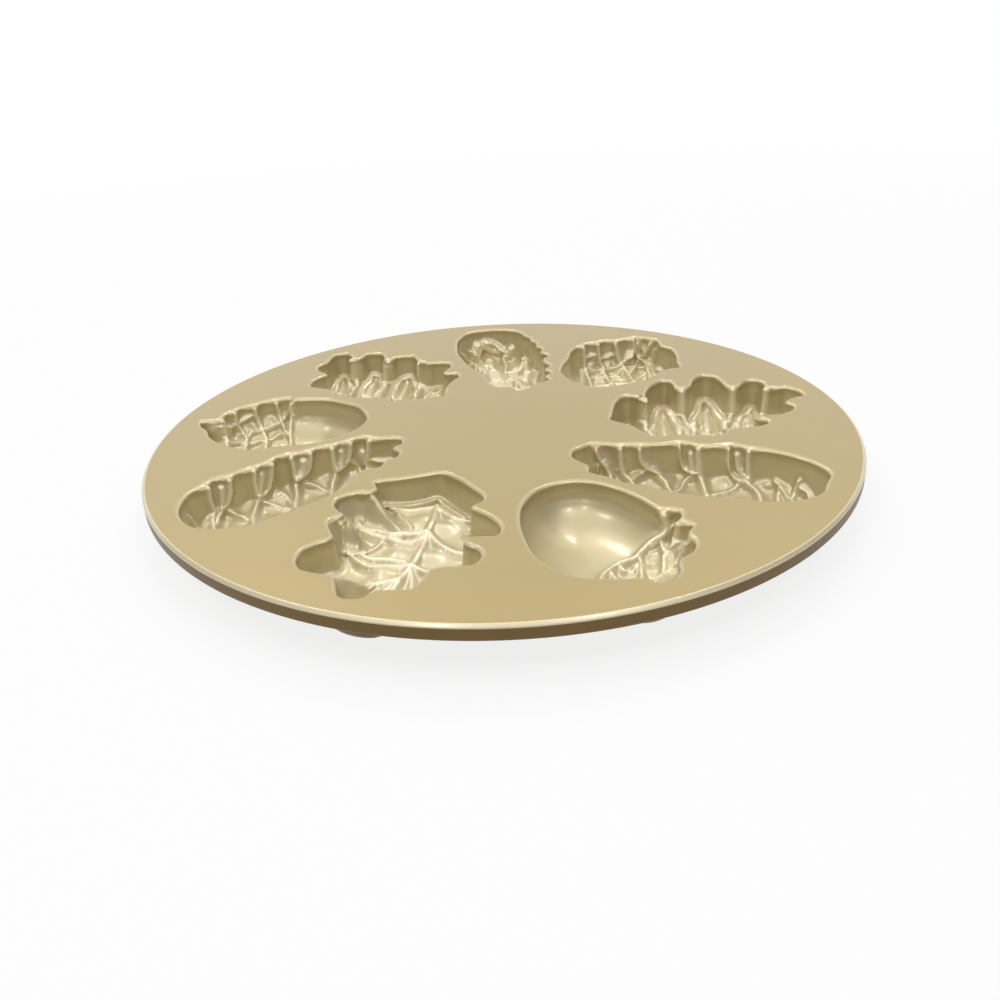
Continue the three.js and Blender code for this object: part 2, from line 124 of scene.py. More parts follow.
# Each well: where it lies in the ring (reach in mm from the pan's middle, bearing in degrees), the
# direction of its length (axis), its depth, how far its steep wall goes down, and how wide the turn
# from the wall into the floor is (belly). Outlines are (along, across) in mm round the lip.
# Crests are (along, across, depth) in mm, drawn on the cavity's surface, with a height, a width
# over which they fall away, and a flat half-width on top. Swells are the same with round flanks.
# Studs are small mounds (along, across, depth, radius, height). Tongues are courses down which metal
# slopes from a notch of the outline to the floor.
LEAF = {
    "node": "leaf_well", "reach": 105.7, "bearing": 247.2, "axis": 264,
    "depth": 16, "wall": 11, "belly": 6, "foot": 7,
    "outline": (
        (-53, 8), (-46.5, 17), (-38, 24), (-28.5, 30.5), (-23.5, 29.5), (-19, 25.5), (-17, 28),
        (-10.5, 35), (-2, 40), (5.5, 38.5), (6.5, 32), (7.5, 26.5), (11.5, 27), (15, 32), (20, 34.5),
        (27.5, 32), (29.5, 27), (30.5, 19), (33, 15), (37, 14.5), (45.5, 10.5), (46.5, 3), (47.5, -3),
        (52, -6.5), (53, -12), (50, -17.5), (43.5, -20), (37, -22.5), (35, -29), (32, -36), (24.5, -40),
        (17, -39), (11.5, -34.5), (7.5, -29.5), (1, -32), (-5.5, -34.5), (-10.5, -32), (-11.5, -29),
        (-16, -32.5), (-21, -35.5), (-26, -35.5), (-30.5, -32), (-33.3, -27), (-33.3, -22),
        (-35.5, -19.8), (-39.5, -21), (-43, -22), (-45, -18.5), (-46.5, -12), (-50, -2),
    ),
    "crests": (
        (2.2, 3.0, 0.5, (
            (-44, 6, 16), (-32, 6.5, 16), (-21, 5.5, 16), (-9, 5, 16), (2, 4, 16), (14, 1, 16),
            (26, -2, 16), (38, -5, 16), (48, -8, 13))),
        (2.2, 3.0, 0.5, ((-44, 6, 16), (-36.5, 11.5, 16), (-32, 16.5, 16), (-29, 24, 14))),
        (2.2, 3.0, 0.5, ((-20, 5.5, 16), (-11.5, 11, 16), (-6, 16, 16), (-3, 21.5, 16), (-1, 33, 14))),
        (2.2, 3.0, 0.5, ((7, 3, 16), (13, 10, 16), (18, 18, 16), (21, 28, 14))),
        (2.2, 3.0, 0.5, (
            (-44, 5, 16), (-42, -1.5, 16), (-40.5, -6.5, 16), (-41, -11, 16), (-43, -18.5, 13))),
        (2.2, 3.0, 0.5, (
            (-18, 5, 16), (-12.5, 0.5, 16), (-11.5, -4.5, 16), (-14, -10, 16), (-17.5, -17, 16),
            (-24, -26.5, 16), (-25, -32, 13))),
        (2.2, 3.0, 0.5, ((7.5, 1, 16), (8.5, -5.5, 16), (8.5, -13, 16), (5, -19, 16), (-1, -25, 16))),
        (2.2, 3.0, 0.5, ((18, 0, 16), (22, -10, 16), (25, -20, 16), (26, -33, 14))),
        (1.8, 2.5, 0.3, ((9, 3, 16), (20, 5, 16), (30, 6, 16), (42, 7, 14))),
        (1.8, 2.5, 0.3, ((20, -2, 16), (30, -8, 16), (38, -15, 15))),
        (2.5, 2.2, 0.6, (
            (-43, -18.5, 13), (-44, -12.5, 14), (-44.5, -6, 15), (-47, 0.5, 14.5), (-50, 5.5, 13.5),
            (-46.5, 8.5, 15.5), (-40.5, 13.5, 16), (-33, 20.5, 16))),
        (2.6, 2.6, 0.8, (
            (-27.5, -27.5, 15), (-26, -21, 16), (-19, -14, 16), (-15.5, -8, 16), (-17.5, -1.5, 16),
            (-20, 4, 16))),
        (2.4, 2.6, 0.6, ((-4.5, -29, 15), (-2.5, -21.5, 16), (2, -16, 16), (3, -9, 16), (5, 0, 16))),
        (1.5, 2.0, 0.2, ((-13, -13.5, 16), (-8, -15.5, 16), (-4, -20, 16))),
        (1.2, 2.0, 0.0, ((-40, -12, 16), (-32, -8, 16), (-25.5, -3, 16))),
    ),
    "studs": (
        (-27, 12, 16, 5.5, 2.6), (-30, -3, 16, 6, 2.2), (-4, -5, 16, 5, 2.2), (-2, 10, 16, 5, 2.4),
        (-36, 2, 16, 4, 1.6), (14, -8, 16, 5, 2.2), (12, 16, 16, 4.5, 2.2), (-18, -7, 16, 4, 1.8),
        (-36, -10, 16, 4, 1.6), (24, 14, 16, 5, 2.0),
    ),
    "tongues": (
        (
            (-28, -34.5, 1.2), (-31.5, -31, 1.2), (-34, -26, 1.2), (-33.5, -21.5, 1.2), (-30, -18, 3),
            (-27.5, -15, 6.5), (-26, -11, 11), (-24.5, -7, 15.5)),
        (
            (-4, -34, 1.2), (-8, -32.5, 1.2), (-11, -29.5, 1.2), (-9.5, -26, 3), (-8, -23.5, 7.5),
            (-6, -22, 11.5), (-4.5, -19.5, 15.5)),
        ((37, -22, 1.2), (32.5, -20, 4), (28, -17.5, 8), (24.5, -14.5, 12), (21.5, -11.5, 15.5)),
    ),
}

HAZELNUT = {
    "node": "hazelnut_well", "reach": 112.8, "bearing": 290.9, "axis": 286,
    "depth": 21, "wall": 3.5, "belly": 31, "foot": 20,
    "outline": (
        (-20.5, -31), (-33.5, -25.5), (-43.5, -15), (-46.5, -2), (-43, 9), (-32.5, 18), (-20.5, 23.5),
        (-8.5, 27.5), (-4.5, 34), (0, 34), (4.5, 31.5), (10, 34), (15, 29.5), (22.5, 29), (29, 24),
        (32.5, 17), (41, 13), (46.5, 5.5), (43.5, 0.5), (39, -4), (38, -9.5), (35.5, -15), (32, -22.5),
        (26.5, -28), (17.5, -32.3), (8.5, -34.5), (-6.5, -33.7),
    ),
    "crests": (
        (3.0, 2.8, 0.4, (
            (-6, 28, 2), (-5, 28.5, 7), (-3, 26.5, 11), (-3, 22, 14), (-0.5, 15, 18), (1, 12, 19),
            (1, 5.5, 20), (6, -4, 21), (16, -10, 21), (27, -16, 18), (32, -19, 10))),
        (2.2, 2.8, 0.3, ((-3.5, 30.5, 7), (-3, 28, 10.5), (-2, 24.5, 13), (-1.5, 20.5, 15.5))),
        (2.6, 2.8, 0.3, ((5, 30.5, 2.5), (5.5, 29.5, 6.5), (7, 27.5, 11), (8, 25, 13.5), (13, 22, 16))),
        (2.4, 2.6, 0.2, (
            (-1, 25.5, 13.5), (7.5, 23.5, 14.5), (15.5, 20, 17), (24.5, 13.5, 18), (36, 6, 13))),
        (2.4, 2.6, 0.2, ((0.5, 14.5, 18), (6, 13, 19), (14, 10, 20), (28, 4, 19), (40, 2, 10))),
        (2.2, 2.4, 0.2, ((1, 5.5, 20), (5, 5.5, 20.5), (8.5, 8, 20), (4.5, 11.5, 19.5))),
        (2.2, 2.6, 0.2, ((4, 0, 21), (14, -1, 21), (24, -5, 20), (34, -9, 13))),
        (2.4, 2.6, 0.2, ((18, 29, 4), (18, 25, 11), (20, 20, 15), (28, 12, 17), (36, 9, 13))),
    ),
    "studs": (
        (3, 20, 17, 3, 1.6), (12, 15, 19, 4, 1.5), (20, 0, 21, 4, 1.5), (12, 4, 20, 4, 1.5),
        (12, 27, 10, 3, 2),
    ),
}

LONG_CONE_LEFT = {
    "node": "long_cone_well_left", "reach": 101.8, "bearing": 206.2, "axis": 209,
    "depth": 21, "wall": 12, "belly": 12, "foot": 9,
    "outline": (
        (53.5, -8.5), (49, -14.5), (42, -19), (35, -23), (27.5, -23), (19.5, -25), (10, -26.5),
        (0, -30.5), (-9, -28.5), (-18, -29), (-26, -28), (-35, -28.5), (-42, -28), (-46.5, -22.5),
        (-53.5, -18), (-57, -13.5), (-54.5, -8), (-49, -5.5), (-50, 0), (-45.5, 5), (-40, 5.5),
        (-35, 10.5), (-26, 9.5), (-18, 16.5), (-7, 23), (11.5, 28.5), (20.5, 29.5), (32, 30.5),
        (47.5, 25.5), (53.5, 20.5), (57, 12), (57, 1),
    ),
    "crests": (
        (2.4, 3.2, 0.3, (
            (39.5, -19, 2), (39.5, -18, 7), (39, -17.5, 13.5), (40.5, -14, 17), (42, -6, 20),
            (45, 4, 20))),
        (2.2, 2.8, 0.2, (
            (28, -21.5, 2.5), (29, -21, 9), (31.5, -20.5, 14), (35.5, -18.5, 16.5), (39.5, -12, 19.5))),
        (1.8, 3.0, 0.1, ((30.5, -19, 17), (28, -15.5, 19.5), (24, -8, 21))),
        (2.6, 3.4, 0.3, (
            (15.5, -24.5, 1), (16.5, -23.5, 6.5), (16.5, -23, 12), (16.5, -21.5, 16), (19, -17.5, 19),
            (22, -10.5, 21), (25, 0, 21), (27, 12, 21), (29, 24, 16), (29, 29, 3))),
        (2.2, 2.8, 0.2, ((6.5, -26.5, 2), (8.5, -25, 8.5), (11.5, -23.5, 13.5), (16.5, -21.5, 16.5))),
        (1.8, 3.0, 0.1, ((16.5, -21.5, 16.5), (11, -18, 20), (5, -10, 21))),
        (2.6, 3.4, 0.3, (
            (-5, -28, 1), (-5, -27.5, 7), (-5, -27, 13), (-4, -24.5, 17.5), (-2, -19, 20), (2, -10, 21),
            (6, 0, 21), (9, 12, 21), (11, 22, 17), (11, 27, 3))),
        (2.2, 2.8, 0.2, ((-13.5, -27.5, 1), (-13, -27, 5), (-10.5, -26.5, 10), (-5, -26.5, 14))),
        (1.6, 3.0, 0.1, ((5.5, -24, 17), (3, -20.5, 20), (2, -12, 21))),
        (1.8, 3.0, 0.1, ((-9, -25, 16), (-13, -22.5, 18.5), (-16, -17.5, 21), (-17, -8, 21))),
        (2.6, 3.4, 0.3, (
            (-24.5, -27, 1), (-24.5, -26, 6.5), (-24.5, -26, 12.5), (-23, -23.5, 17.5), (-20, -19, 20.5),
            (-16, -9, 21), (-12, 2, 21), (-9, 12, 20), (-8, 20, 10))),
        (2.2, 2.8, 0.2, ((-34, -27, 2), (-32.5, -26.5, 8), (-29.5, -25.5, 11.5), (-24.5, -25.5, 13.5))),
        (1.8, 3.0, 0.1, ((-32.5, -26, 10), (-36, -25, 14), (-35, -16, 20), (-30, -6, 21))),
        (2.2, 3.0, 0.2, (
            (-44.5, -23.5, 0.5), (-43.5, -23.5, 7.5), (-41, -23, 13.5), (-36, -14, 19), (-31, -3, 20),
            (-28, 7, 14))),
        (1.6, 2.4, 0.1, ((-43, -23.5, 11), (-46.5, -19, 12), (-50, -14, 12))),
        (1.8, 2.8, 0.1, ((51.5, -7.5, 8.5), (49.5, -9, 13.5), (46, -3, 18))),
        (1.8, 2.8, 0.1, ((42, -6, 20), (34, 4, 21), (27, 12, 21), (20, 20, 20))),
        (1.8, 2.8, 0.1, ((25, 0, 21), (16, 8, 21), (9, 12, 21), (2, 19, 19))),
        (1.8, 2.8, 0.1, ((6, 0, 21), (-3, 6, 21), (-9, 12, 20))),
        (1.8, 2.8, 0.1, ((45, 4, 20), (40, 14, 20), (40, 24, 14))),
        (1.8, 2.8, 0.1, ((-12, 2, 21), (-22, 2, 20), (-31, -3, 20))),
    ),
    "studs": (
        (-19.5, -24, 17.5, 3.6, 1.2), (4, -22, 19, 3.6, 1.2), (26.5, -13, 20.5, 4, 1.4),
    ),
    "swells": (
        (1.9, 1.3, 0.2, ((32, -21.5, 5.5), (33, -21, 10), (35.5, -19, 16))),
        (1.9, 1.3, 0.2, ((12, -24.5, 5), (13, -24, 9), (15.5, -22.5, 15))),
        (1.9, 1.3, 0.2, ((-9.5, -26.5, 5), (-9, -26.5, 8), (-6, -26.5, 13))),
        (1.9, 1.3, 0.2, ((-29, -26.5, 5), (-28.5, -26, 8), (-26, -25.5, 12.5))),
        (1.8, 1.8, 0.6, ((-40, -26.5, 9), (-41, -25.5, 13))),
    ),
}

LONG_CONE_RIGHT = {
    "node": "long_cone_well_right", "reach": 100.7, "bearing": 328.1, "axis": 343,
    "depth": 21, "wall": 12, "belly": 12, "foot": 9,
    "outline": (
        (-58.5, 6.5), (-55, 12), (-50, 18), (-38.5, 19), (-29, 21), (-18.5, 22.5), (-9.5, 27),
        (2.5, 24.5), (14, 28.5), (22, 26), (34, 23.5), (44.5, 19), (52.5, 13), (58.5, 4.5), (57, -4.5),
        (55, -15), (48, -23), (42, -26), (31.5, -28.5), (21, -28), (10.5, -28.5), (0, -28), (-10.5, -26),
        (-20, -23), (-28, -22), (-35, -18), (-42, -16), (-46.5, -13.5), (-48, -7), (-52.5, -4),
        (-57, 0.5),
    ),
    "crests": (
        (2.2, 2.6, 0.2, ((-48.5, 17, 4), (-46, 16.5, 8), (-43, 16.5, 11.5), (-40, 12, 16), (-38, 4, 18))),
        (2.4, 3.0, 0.3, (
            (-37, 18, 2.5), (-36.5, 17, 8.5), (-35, 16.5, 15), (-31, 14, 18.5), (-27, 6, 20.5),
            (-25, -4, 20), (-26, -14, 14))),
        (2.4, 3.0, 0.3, (
            (-28, 19.5, 3), (-27, 19.5, 8), (-23, 19.5, 12), (-19, 19.5, 14.5), (-18, 18, 17),
            (-15, 15, 19.5), (-11, 7, 21), (-9, -6, 21), (-10, -18, 18), (-11, -24, 4))),
        (2.0, 2.8, 0.1, ((-31, 14, 18.5), (-27.5, 18, 15.5), (-24.5, 19, 12.5))),
        (2.4, 2.8, 0.2, ((-10.5, 25, 3), (-10, 25, 8), (-6.5, 24.5, 13), (-2, 22.5, 15))),
        (2.4, 3.0, 0.3, (
            (-0.5, 23.5, 2), (0, 23, 9), (1, 21.5, 15.5), (2.5, 17.5, 19.5), (5, 8, 21), (7, -4, 21),
            (8, -18, 20), (8, -26, 5))),
        (2.0, 2.8, 0.1, ((-11, 7, 21), (-7.5, 14, 21), (-6, 20, 18.5), (-2, 22, 15.5))),
        (2.6, 3.2, 0.3, (
            (11.5, 26.5, 2.5), (12, 26, 9.5), (14.5, 26, 14.5), (18.5, 22.5, 17), (23.5, 19.5, 18.5),
            (27.5, 15, 20.5), (29, 6, 21), (29, -6, 21), (28, -18, 20), (27, -27, 5))),
        (2.2, 2.8, 0.2, ((22, 24.5, 2), (22.5, 23.5, 9.5), (23.5, 20.5, 17.5))),
        (2.0, 2.8, 0.1, ((5, 8, 21), (16, 17, 20), (18.5, 21, 18))),
        (2.0, 2.2, 0.2, ((35, 20.5, 14), (37.5, 18.5, 16.5), (36.5, 12.5, 20), (38, 2, 21))),
        (2.0, 2.2, 0.2, ((45.5, 15.5, 11), (44.5, 15, 15), (43, 9, 19), (45, 0, 19))),
        (2.0, 2.2, 0.2, ((47, 14.5, 13), (50, 11, 14.5), (49, 4, 16), (45, 0, 19))),
        (1.8, 2.2, 0.1, ((37.5, 18.5, 16.5), (40, 14, 18.5), (43, 9, 19))),
        (1.6, 2.4, 0.1, ((-38, 16.5, 13), (-36, 17.5, 10))),
        (1.6, 2.4, 0.1, ((-47, 16.5, 10.5), (-47.5, 15.5, 15))),
        (1.8, 2.8, 0.1, ((-27, 6, 20.5), (-18, 0, 21), (-9, -6, 21), (-1, -14, 21))),
        (1.8, 2.8, 0.1, ((-11, 7, 21), (-2, 2, 21), (7, -4, 21), (16, -12, 21))),
        (1.8, 2.8, 0.1, ((5, 8, 21), (16, 2, 21), (29, -6, 21), (40, -14, 18))),
        (1.8, 2.8, 0.1, ((29, 6, 21), (38, 2, 21), (50, -6, 15))),
    ),
    "studs": (
        (40, 17, 17, 2.5, 1.4), (47, 13.5, 15, 2.2, 1.4), (12, 21, 19, 3.2, 1.8),
        (31, 20, 16.5, 2.6, 1.6), (-13.5, 18, 18.5, 3, 1.6), (-28.5, 17.5, 16, 2.4, 1.6),
        (-48.5, 15.5, 12.5, 2.4, 1.4),
    ),
    "swells": (
        (1.9, 1.3, 0.2, ((-4.5, 24.5, 5.5), (-3.5, 24, 9), (-1.5, 22.5, 14))),
        (1.9, 1.4, 0.2, ((16.5, 26, 5.5), (18, 25, 10.5), (22, 22, 16))),
    ),
}

ACORN = {
    "node": "acorn_well", "reach": 114.4, "bearing": 168.2, "axis": 177,
    "depth": 21, "wall": 4.5, "belly": 23, "foot": 11,
    "outline": (
        (44.5, -3.5), (36.5, -5.5), (34.5, -13.5), (29.5, -20.5), (21.5, -26.5), (14, -31.5),
        (6.5, -34.2), (2.5, -33.8), (-1, -31.8), (-7, -31.5), (-18, -30), (-27.5, -25), (-37.5, -18),
        (-42.5, -9), (-44.5, 0), (-41, 12), (-33, 21.5), (-25, 27.5), (-11.5, 31), (-3.5, 32), (3.5, 35),
        (12.5, 33.5), (23, 28.5), (34, 17.5), (39, 7.5), (42.5, 3.5),
    ),
    "crests": (
        (2.2, 1.6, 0.2, (
            (2, -31, 3.5), (2, -30, 6.5), (2.5, -27.5, 12), (2.5, -23.5, 16), (1.5, -18, 19.5),
            (0, -6, 21), (0, 8, 21), (1, 20, 19), (2, 30, 8))),
        (2.2, 3.0, 0.2, (
            (35, -6.5, 1), (34.5, -5.5, 6.5), (33, -3, 14), (31, 6, 18), (27, 17, 16), (24, 26, 4))),
        (2.4, 3.2, 0.2, (
            (31, -16.5, 1.5), (30.5, -16, 8), (29, -15.5, 15), (26, -8, 20), (23, 4, 21), (18, 18, 20),
            (14, 29, 8))),
        (2.4, 3.2, 0.2, (
            (21.5, -24.5, 3), (20.5, -24, 11), (19, -22, 17.5), (15, -14.5, 21), (12, 0, 21), (8, 14, 21),
            (5, 26, 17), (4, 32, 4))),
        (2.6, 3.0, 0.2, (
            (11, -31.5, 3), (10.5, -31, 8.5), (9.5, -29.5, 13.5), (6.5, -25, 16.5), (2, -18.5, 19))),
        (2.2, 3.0, 0.2, (
            (26, -8, 20), (24.5, -18, 17.5), (19, -22.5, 17.5), (10.5, -29.5, 15.5), (7.5, -32, 12.5),
            (3, -30, 5))),
        (1.8, 2.8, 0.1, (
            (35, -4.5, 4), (32.5, -12, 8), (30.5, -16, 8), (26, -20.5, 7), (21.5, -24.5, 5))),
        (2.0, 3.0, 0.1, ((33, -3, 14), (26, -8, 20), (15, -14.5, 21), (5, -22, 20))),
        (2.0, 3.0, 0.1, ((31, 6, 18), (23, 4, 21), (12, 0, 21), (2, -10, 21))),
        (2.0, 3.0, 0.1, ((27, 17, 16), (18, 18, 20), (8, 14, 21), (1, 4, 21))),
        (2.0, 3.0, 0.1, ((18, 28, 8), (12, 26, 17), (5, 26, 17), (1, 18, 20))),
    ),
    "studs": (
        (25.5, -20, 14, 2.8, 2.4), (15.5, -27.5, 13.5, 3, 2.4), (10.5, -21, 20, 3.2, 2.2),
        (20.5, -15, 20.5, 3.2, 2.2), (33, -10, 8.5, 3, 1.8), (38, -3, 6, 3, 1.8),
        (28.5, -11.5, 18.5, 2.8, 2), (6, -14, 21, 3, 1.5), (16, -6, 21, 3, 1.5), (27, -1, 19.5, 3, 1.5),
        (6, 4, 21, 3, 1.5), (16, 10, 21, 3, 1.5), (25, 11, 19, 3, 1.5), (7, 20, 20, 3, 1.5),
        (14, 22, 19, 3, 1.5),
    ),
}

OPEN_CONE_LEFT = {
    "node": "open_cone_well_left", "reach": 108.1, "bearing": 127.3, "axis": 164,
    "depth": 19, "wall": 12, "belly": 8, "foot": 8,
    "outline": (
        (43.5, -28), (41.5, -31.5), (37, -33.5), (32.5, -32), (29, -28), (26.5, -25), (25, -28),
        (24.5, -32.5), (22, -35.5), (18.5, -36.5), (14, -36), (10.5, -32.5), (8, -27.5), (6, -28),
        (4.5, -31), (0.5, -33.5), (-3, -34.5), (-6.5, -34.5), (-9.5, -32), (-12, -28.5), (-14, -27),
        (-16.5, -26), (-19, -23.5), (-22, -25), (-28, -26), (-33, -24.5), (-35, -20), (-34.5, -8),
        (-38.5, -9.5), (-43, -8), (-45, -4), (-43, 4), (-43, 14.5), (-45, 26), (-39.5, 29), (-33.5, 33),
        (-23.5, 35.5), (-20, 38.5), (-14.5, 34.5), (-3.5, 35.5), (5.5, 36), (10, 33), (15.5, 34),
        (20, 27.5), (26, 26), (33.5, 24.5), (38, 17.5), (36, 8.5), (34, 4), (41.5, -1.5), (45, -8.5),
        (43, -14.5),
    ),
    "crests": (
        (2.8, 2.4, 0.4, (
            (26.5, -24.5, 1), (26.5, -24, 10), (25.5, -21, 18), (25, -15, 19), (24, -5, 19))),
        (2.8, 2.4, 0.4, ((7, -27, 1), (7.5, -26.5, 10.5), (7.5, -22, 18.5), (7, -12, 19), (5, 0, 19))),
        (2.6, 2.4, 0.4, ((-14.5, -26, 1), (-14.5, -25, 7), (-15, -21, 16), (-15, -12, 19), (-16, 0, 19))),
        (2.0, 1.8, 0.2, (
            (-20.5, -10, 19), (-21, -17.5, 18.5), (-23.5, -21, 17), (-27, -21, 16), (-28, -12, 18))),
        (1.8, 2.2, 0.2, ((30, 20, 14), (26, 12, 19), (24, 4, 19))),
        (2.2, 2.0, 0.3, ((-30, 20, 18), (-28, 10, 19), (-22, 4, 19), (-16, 8, 19), (-12, 20, 19))),
        (2.2, 2.0, 0.3, ((-6, 28, 18), (-4, 14, 19), (2, 6, 19), (8, 12, 19), (10, 26, 18))),
        (3.0, 3.0, 0.3, ((-14.5, 33, 3), (-13, 26, 17), (-12, 16, 19))),
        (3.0, 3.0, 0.3, ((10, 31, 3), (9, 24, 17), (8, 14, 19))),
    ),
    "swells": (
        (2.2, 1.2, 0.5, (
            (36, -8, 19), (37, -13, 17.5), (39.5, -21, 16), (39, -28.5, 15), (35.5, -28.5, 15),
            (31.5, -25, 18), (27.5, -13.5, 19))),
        (1.8, 1.4, 0.5, ((33, -10, 19), (34.5, -17, 19), (36, -23, 18), (37.3, -26, 16))),
        (2.4, 1.2, 0.6, (
            (18, -8, 19), (21, -18, 19), (22.5, -27, 17.5), (21.5, -33, 14.5), (18, -34, 14.5),
            (13.5, -30.5, 16.5), (10.5, -23, 19), (10.5, -10, 19))),
        (2.0, 1.5, 0.5, ((14.5, -8, 19), (16.5, -18, 19), (18, -26, 18.5), (18.5, -30.5, 16.5))),
        (2.4, 1.2, 0.6, (
            (-1, -8, 19), (1.5, -18, 19), (3, -26.5, 17.5), (1, -32, 15), (-4, -32.5, 14),
            (-9, -28.5, 16), (-12, -20, 18.5), (-13, -10, 19))),
        (2.0, 1.5, 0.5, ((-5.5, -8, 19), (-4, -18, 19), (-3, -26, 18.5), (-3, -29.5, 16))),
        (1.6, 1.4, 1.2, ((-24.5, -19, 18), (-24.5, -10, 19))),
    ),
}

OPEN_CONE_RIGHT = {
    "node": "open_cone_well_right", "reach": 106.8, "bearing": 11, "axis": 10,
    "depth": 19, "wall": 12, "belly": 8, "foot": 8,
    "outline": (
        (-53, -6), (-50, 2.5), (-47, 10), (-43, 18), (-38, 22.5), (-33, 23), (-30, 20), (-28.5, 16.5),
        (-26, 22.5), (-21, 31.5), (-15, 36.5), (-10, 38.5), (-6.5, 37), (-5, 32), (-5.5, 26), (-2.5, 25),
        (1, 27.5), (4.5, 34), (9, 38), (14, 39.5), (18.5, 37), (20.5, 31), (20.5, 24), (21, 19.5),
        (24, 19), (28, 22.5), (33, 25), (38, 23.5), (40.5, 18.5), (40, 12.5), (43, 10.5), (48, 9.5),
        (53, 1), (52, -5), (45.5, -6.5), (39.5, -10.5), (41.5, -16), (36, -22.5), (28.5, -25),
        (20, -24.5), (21.5, -31), (16, -35), (8.5, -35.5), (0, -35), (-9.5, -40.5), (-16, -38),
        (-22.5, -36.5), (-28.5, -34), (-39.5, -31.5), (-42.5, -25), (-45.5, -16),
    ),
    "crests": (
        (3.0, 2.4, 0.4, ((-28.5, 15.5, 1), (-28.5, 15, 9.5), (-28.5, 11.5, 17.5), (-29, 4, 19))),
        (3.0, 2.4, 0.4, ((-4, 24.5, 1), (-4, 24, 12), (-4.5, 18, 18), (-6, 9.5, 19))),
        (2.8, 2.4, 0.4, ((22, 18.5, 1), (21.5, 17.5, 13), (19.5, 13, 18), (17, 7.5, 19))),
        (2.8, 2.4, 0.4, ((39, 11.5, 1), (38.5, 10.5, 10), (36, 9, 16), (31, 3, 19))),
        (2.2, 2.0, 0.3, ((-34, -2, 19), (-38, 6, 18), (-38, 14, 16), (-34, 12, 18), (-31, 4, 19))),
        (3.0, 2.8, 0.3, ((-24, -34, 3), (-22, -26, 16), (-20, -14, 19))),
        (3.0, 2.8, 0.3, ((-1, -33.5, 3), (-1, -26, 17), (-2, -12, 19))),
        (3.0, 2.8, 0.3, ((20, -25, 3), (18, -20, 17), (15, -10, 19))),
        (2.2, 2.0, 0.3, ((-34, -8, 19), (-31, -20, 18), (-26, -26, 17), (-24, -18, 19), (-24, -6, 19))),
        (2.2, 2.0, 0.3, ((-16, -6, 19), (-14, -22, 19), (-10, -34, 15), (-6, -24, 19), (-7, -8, 19))),
        (2.2, 2.0, 0.3, ((3, -4, 19), (4, -18, 19), (9, -29, 16), (13, -20, 19), (10, -6, 19))),
        (2.0, 2.0, 0.3, ((26, -4, 19), (30, -14, 18), (36, -17, 14), (34, -8, 18))),
    ),
    "studs": (
        (0.5, 11, 19, 2.4, 2.2), (32, 18.5, 16.5, 2.4, 2), (25, 12, 19, 2.4, 2),
    ),
    "swells": (
        (2.6, 1.4, 0.7, (
            (-27, 2, 19), (-24.5, 12, 18.5), (-19, 24, 18), (-13.5, 33, 15.5), (-9.5, 31.5, 14.5),
            (-8.5, 25, 17), (-10, 12, 19), (-12, 4, 19))),
        (2.0, 1.5, 0.5, ((-20, 4, 19), (-17, 16, 19), (-13.5, 26, 18.5), (-12, 30, 16.5))),
        (2.8, 1.4, 0.8, (
            (-4, 4, 19), (-1, 14, 19), (5.5, 26, 17.5), (11, 35.5, 15.5), (15.5, 33, 15),
            (15.5, 24, 16.5), (14.5, 11, 19), (12, 2, 19))),
        (2.2, 1.6, 0.7, ((3.5, 4, 19), (6.5, 14, 19), (11, 26, 18), (13.3, 31, 16))),
        (2.4, 1.3, 0.6, (
            (20, 4, 19), (24, 12, 19), (29, 17, 18), (33.5, 20.5, 15.5), (35, 17, 16.5), (33.5, 10, 18),
            (30, 3, 19))),
        (2.0, 1.5, 0.5, ((25, 3, 19), (29.5, 12, 18.5), (32.5, 16.5, 17))),
    ),
}

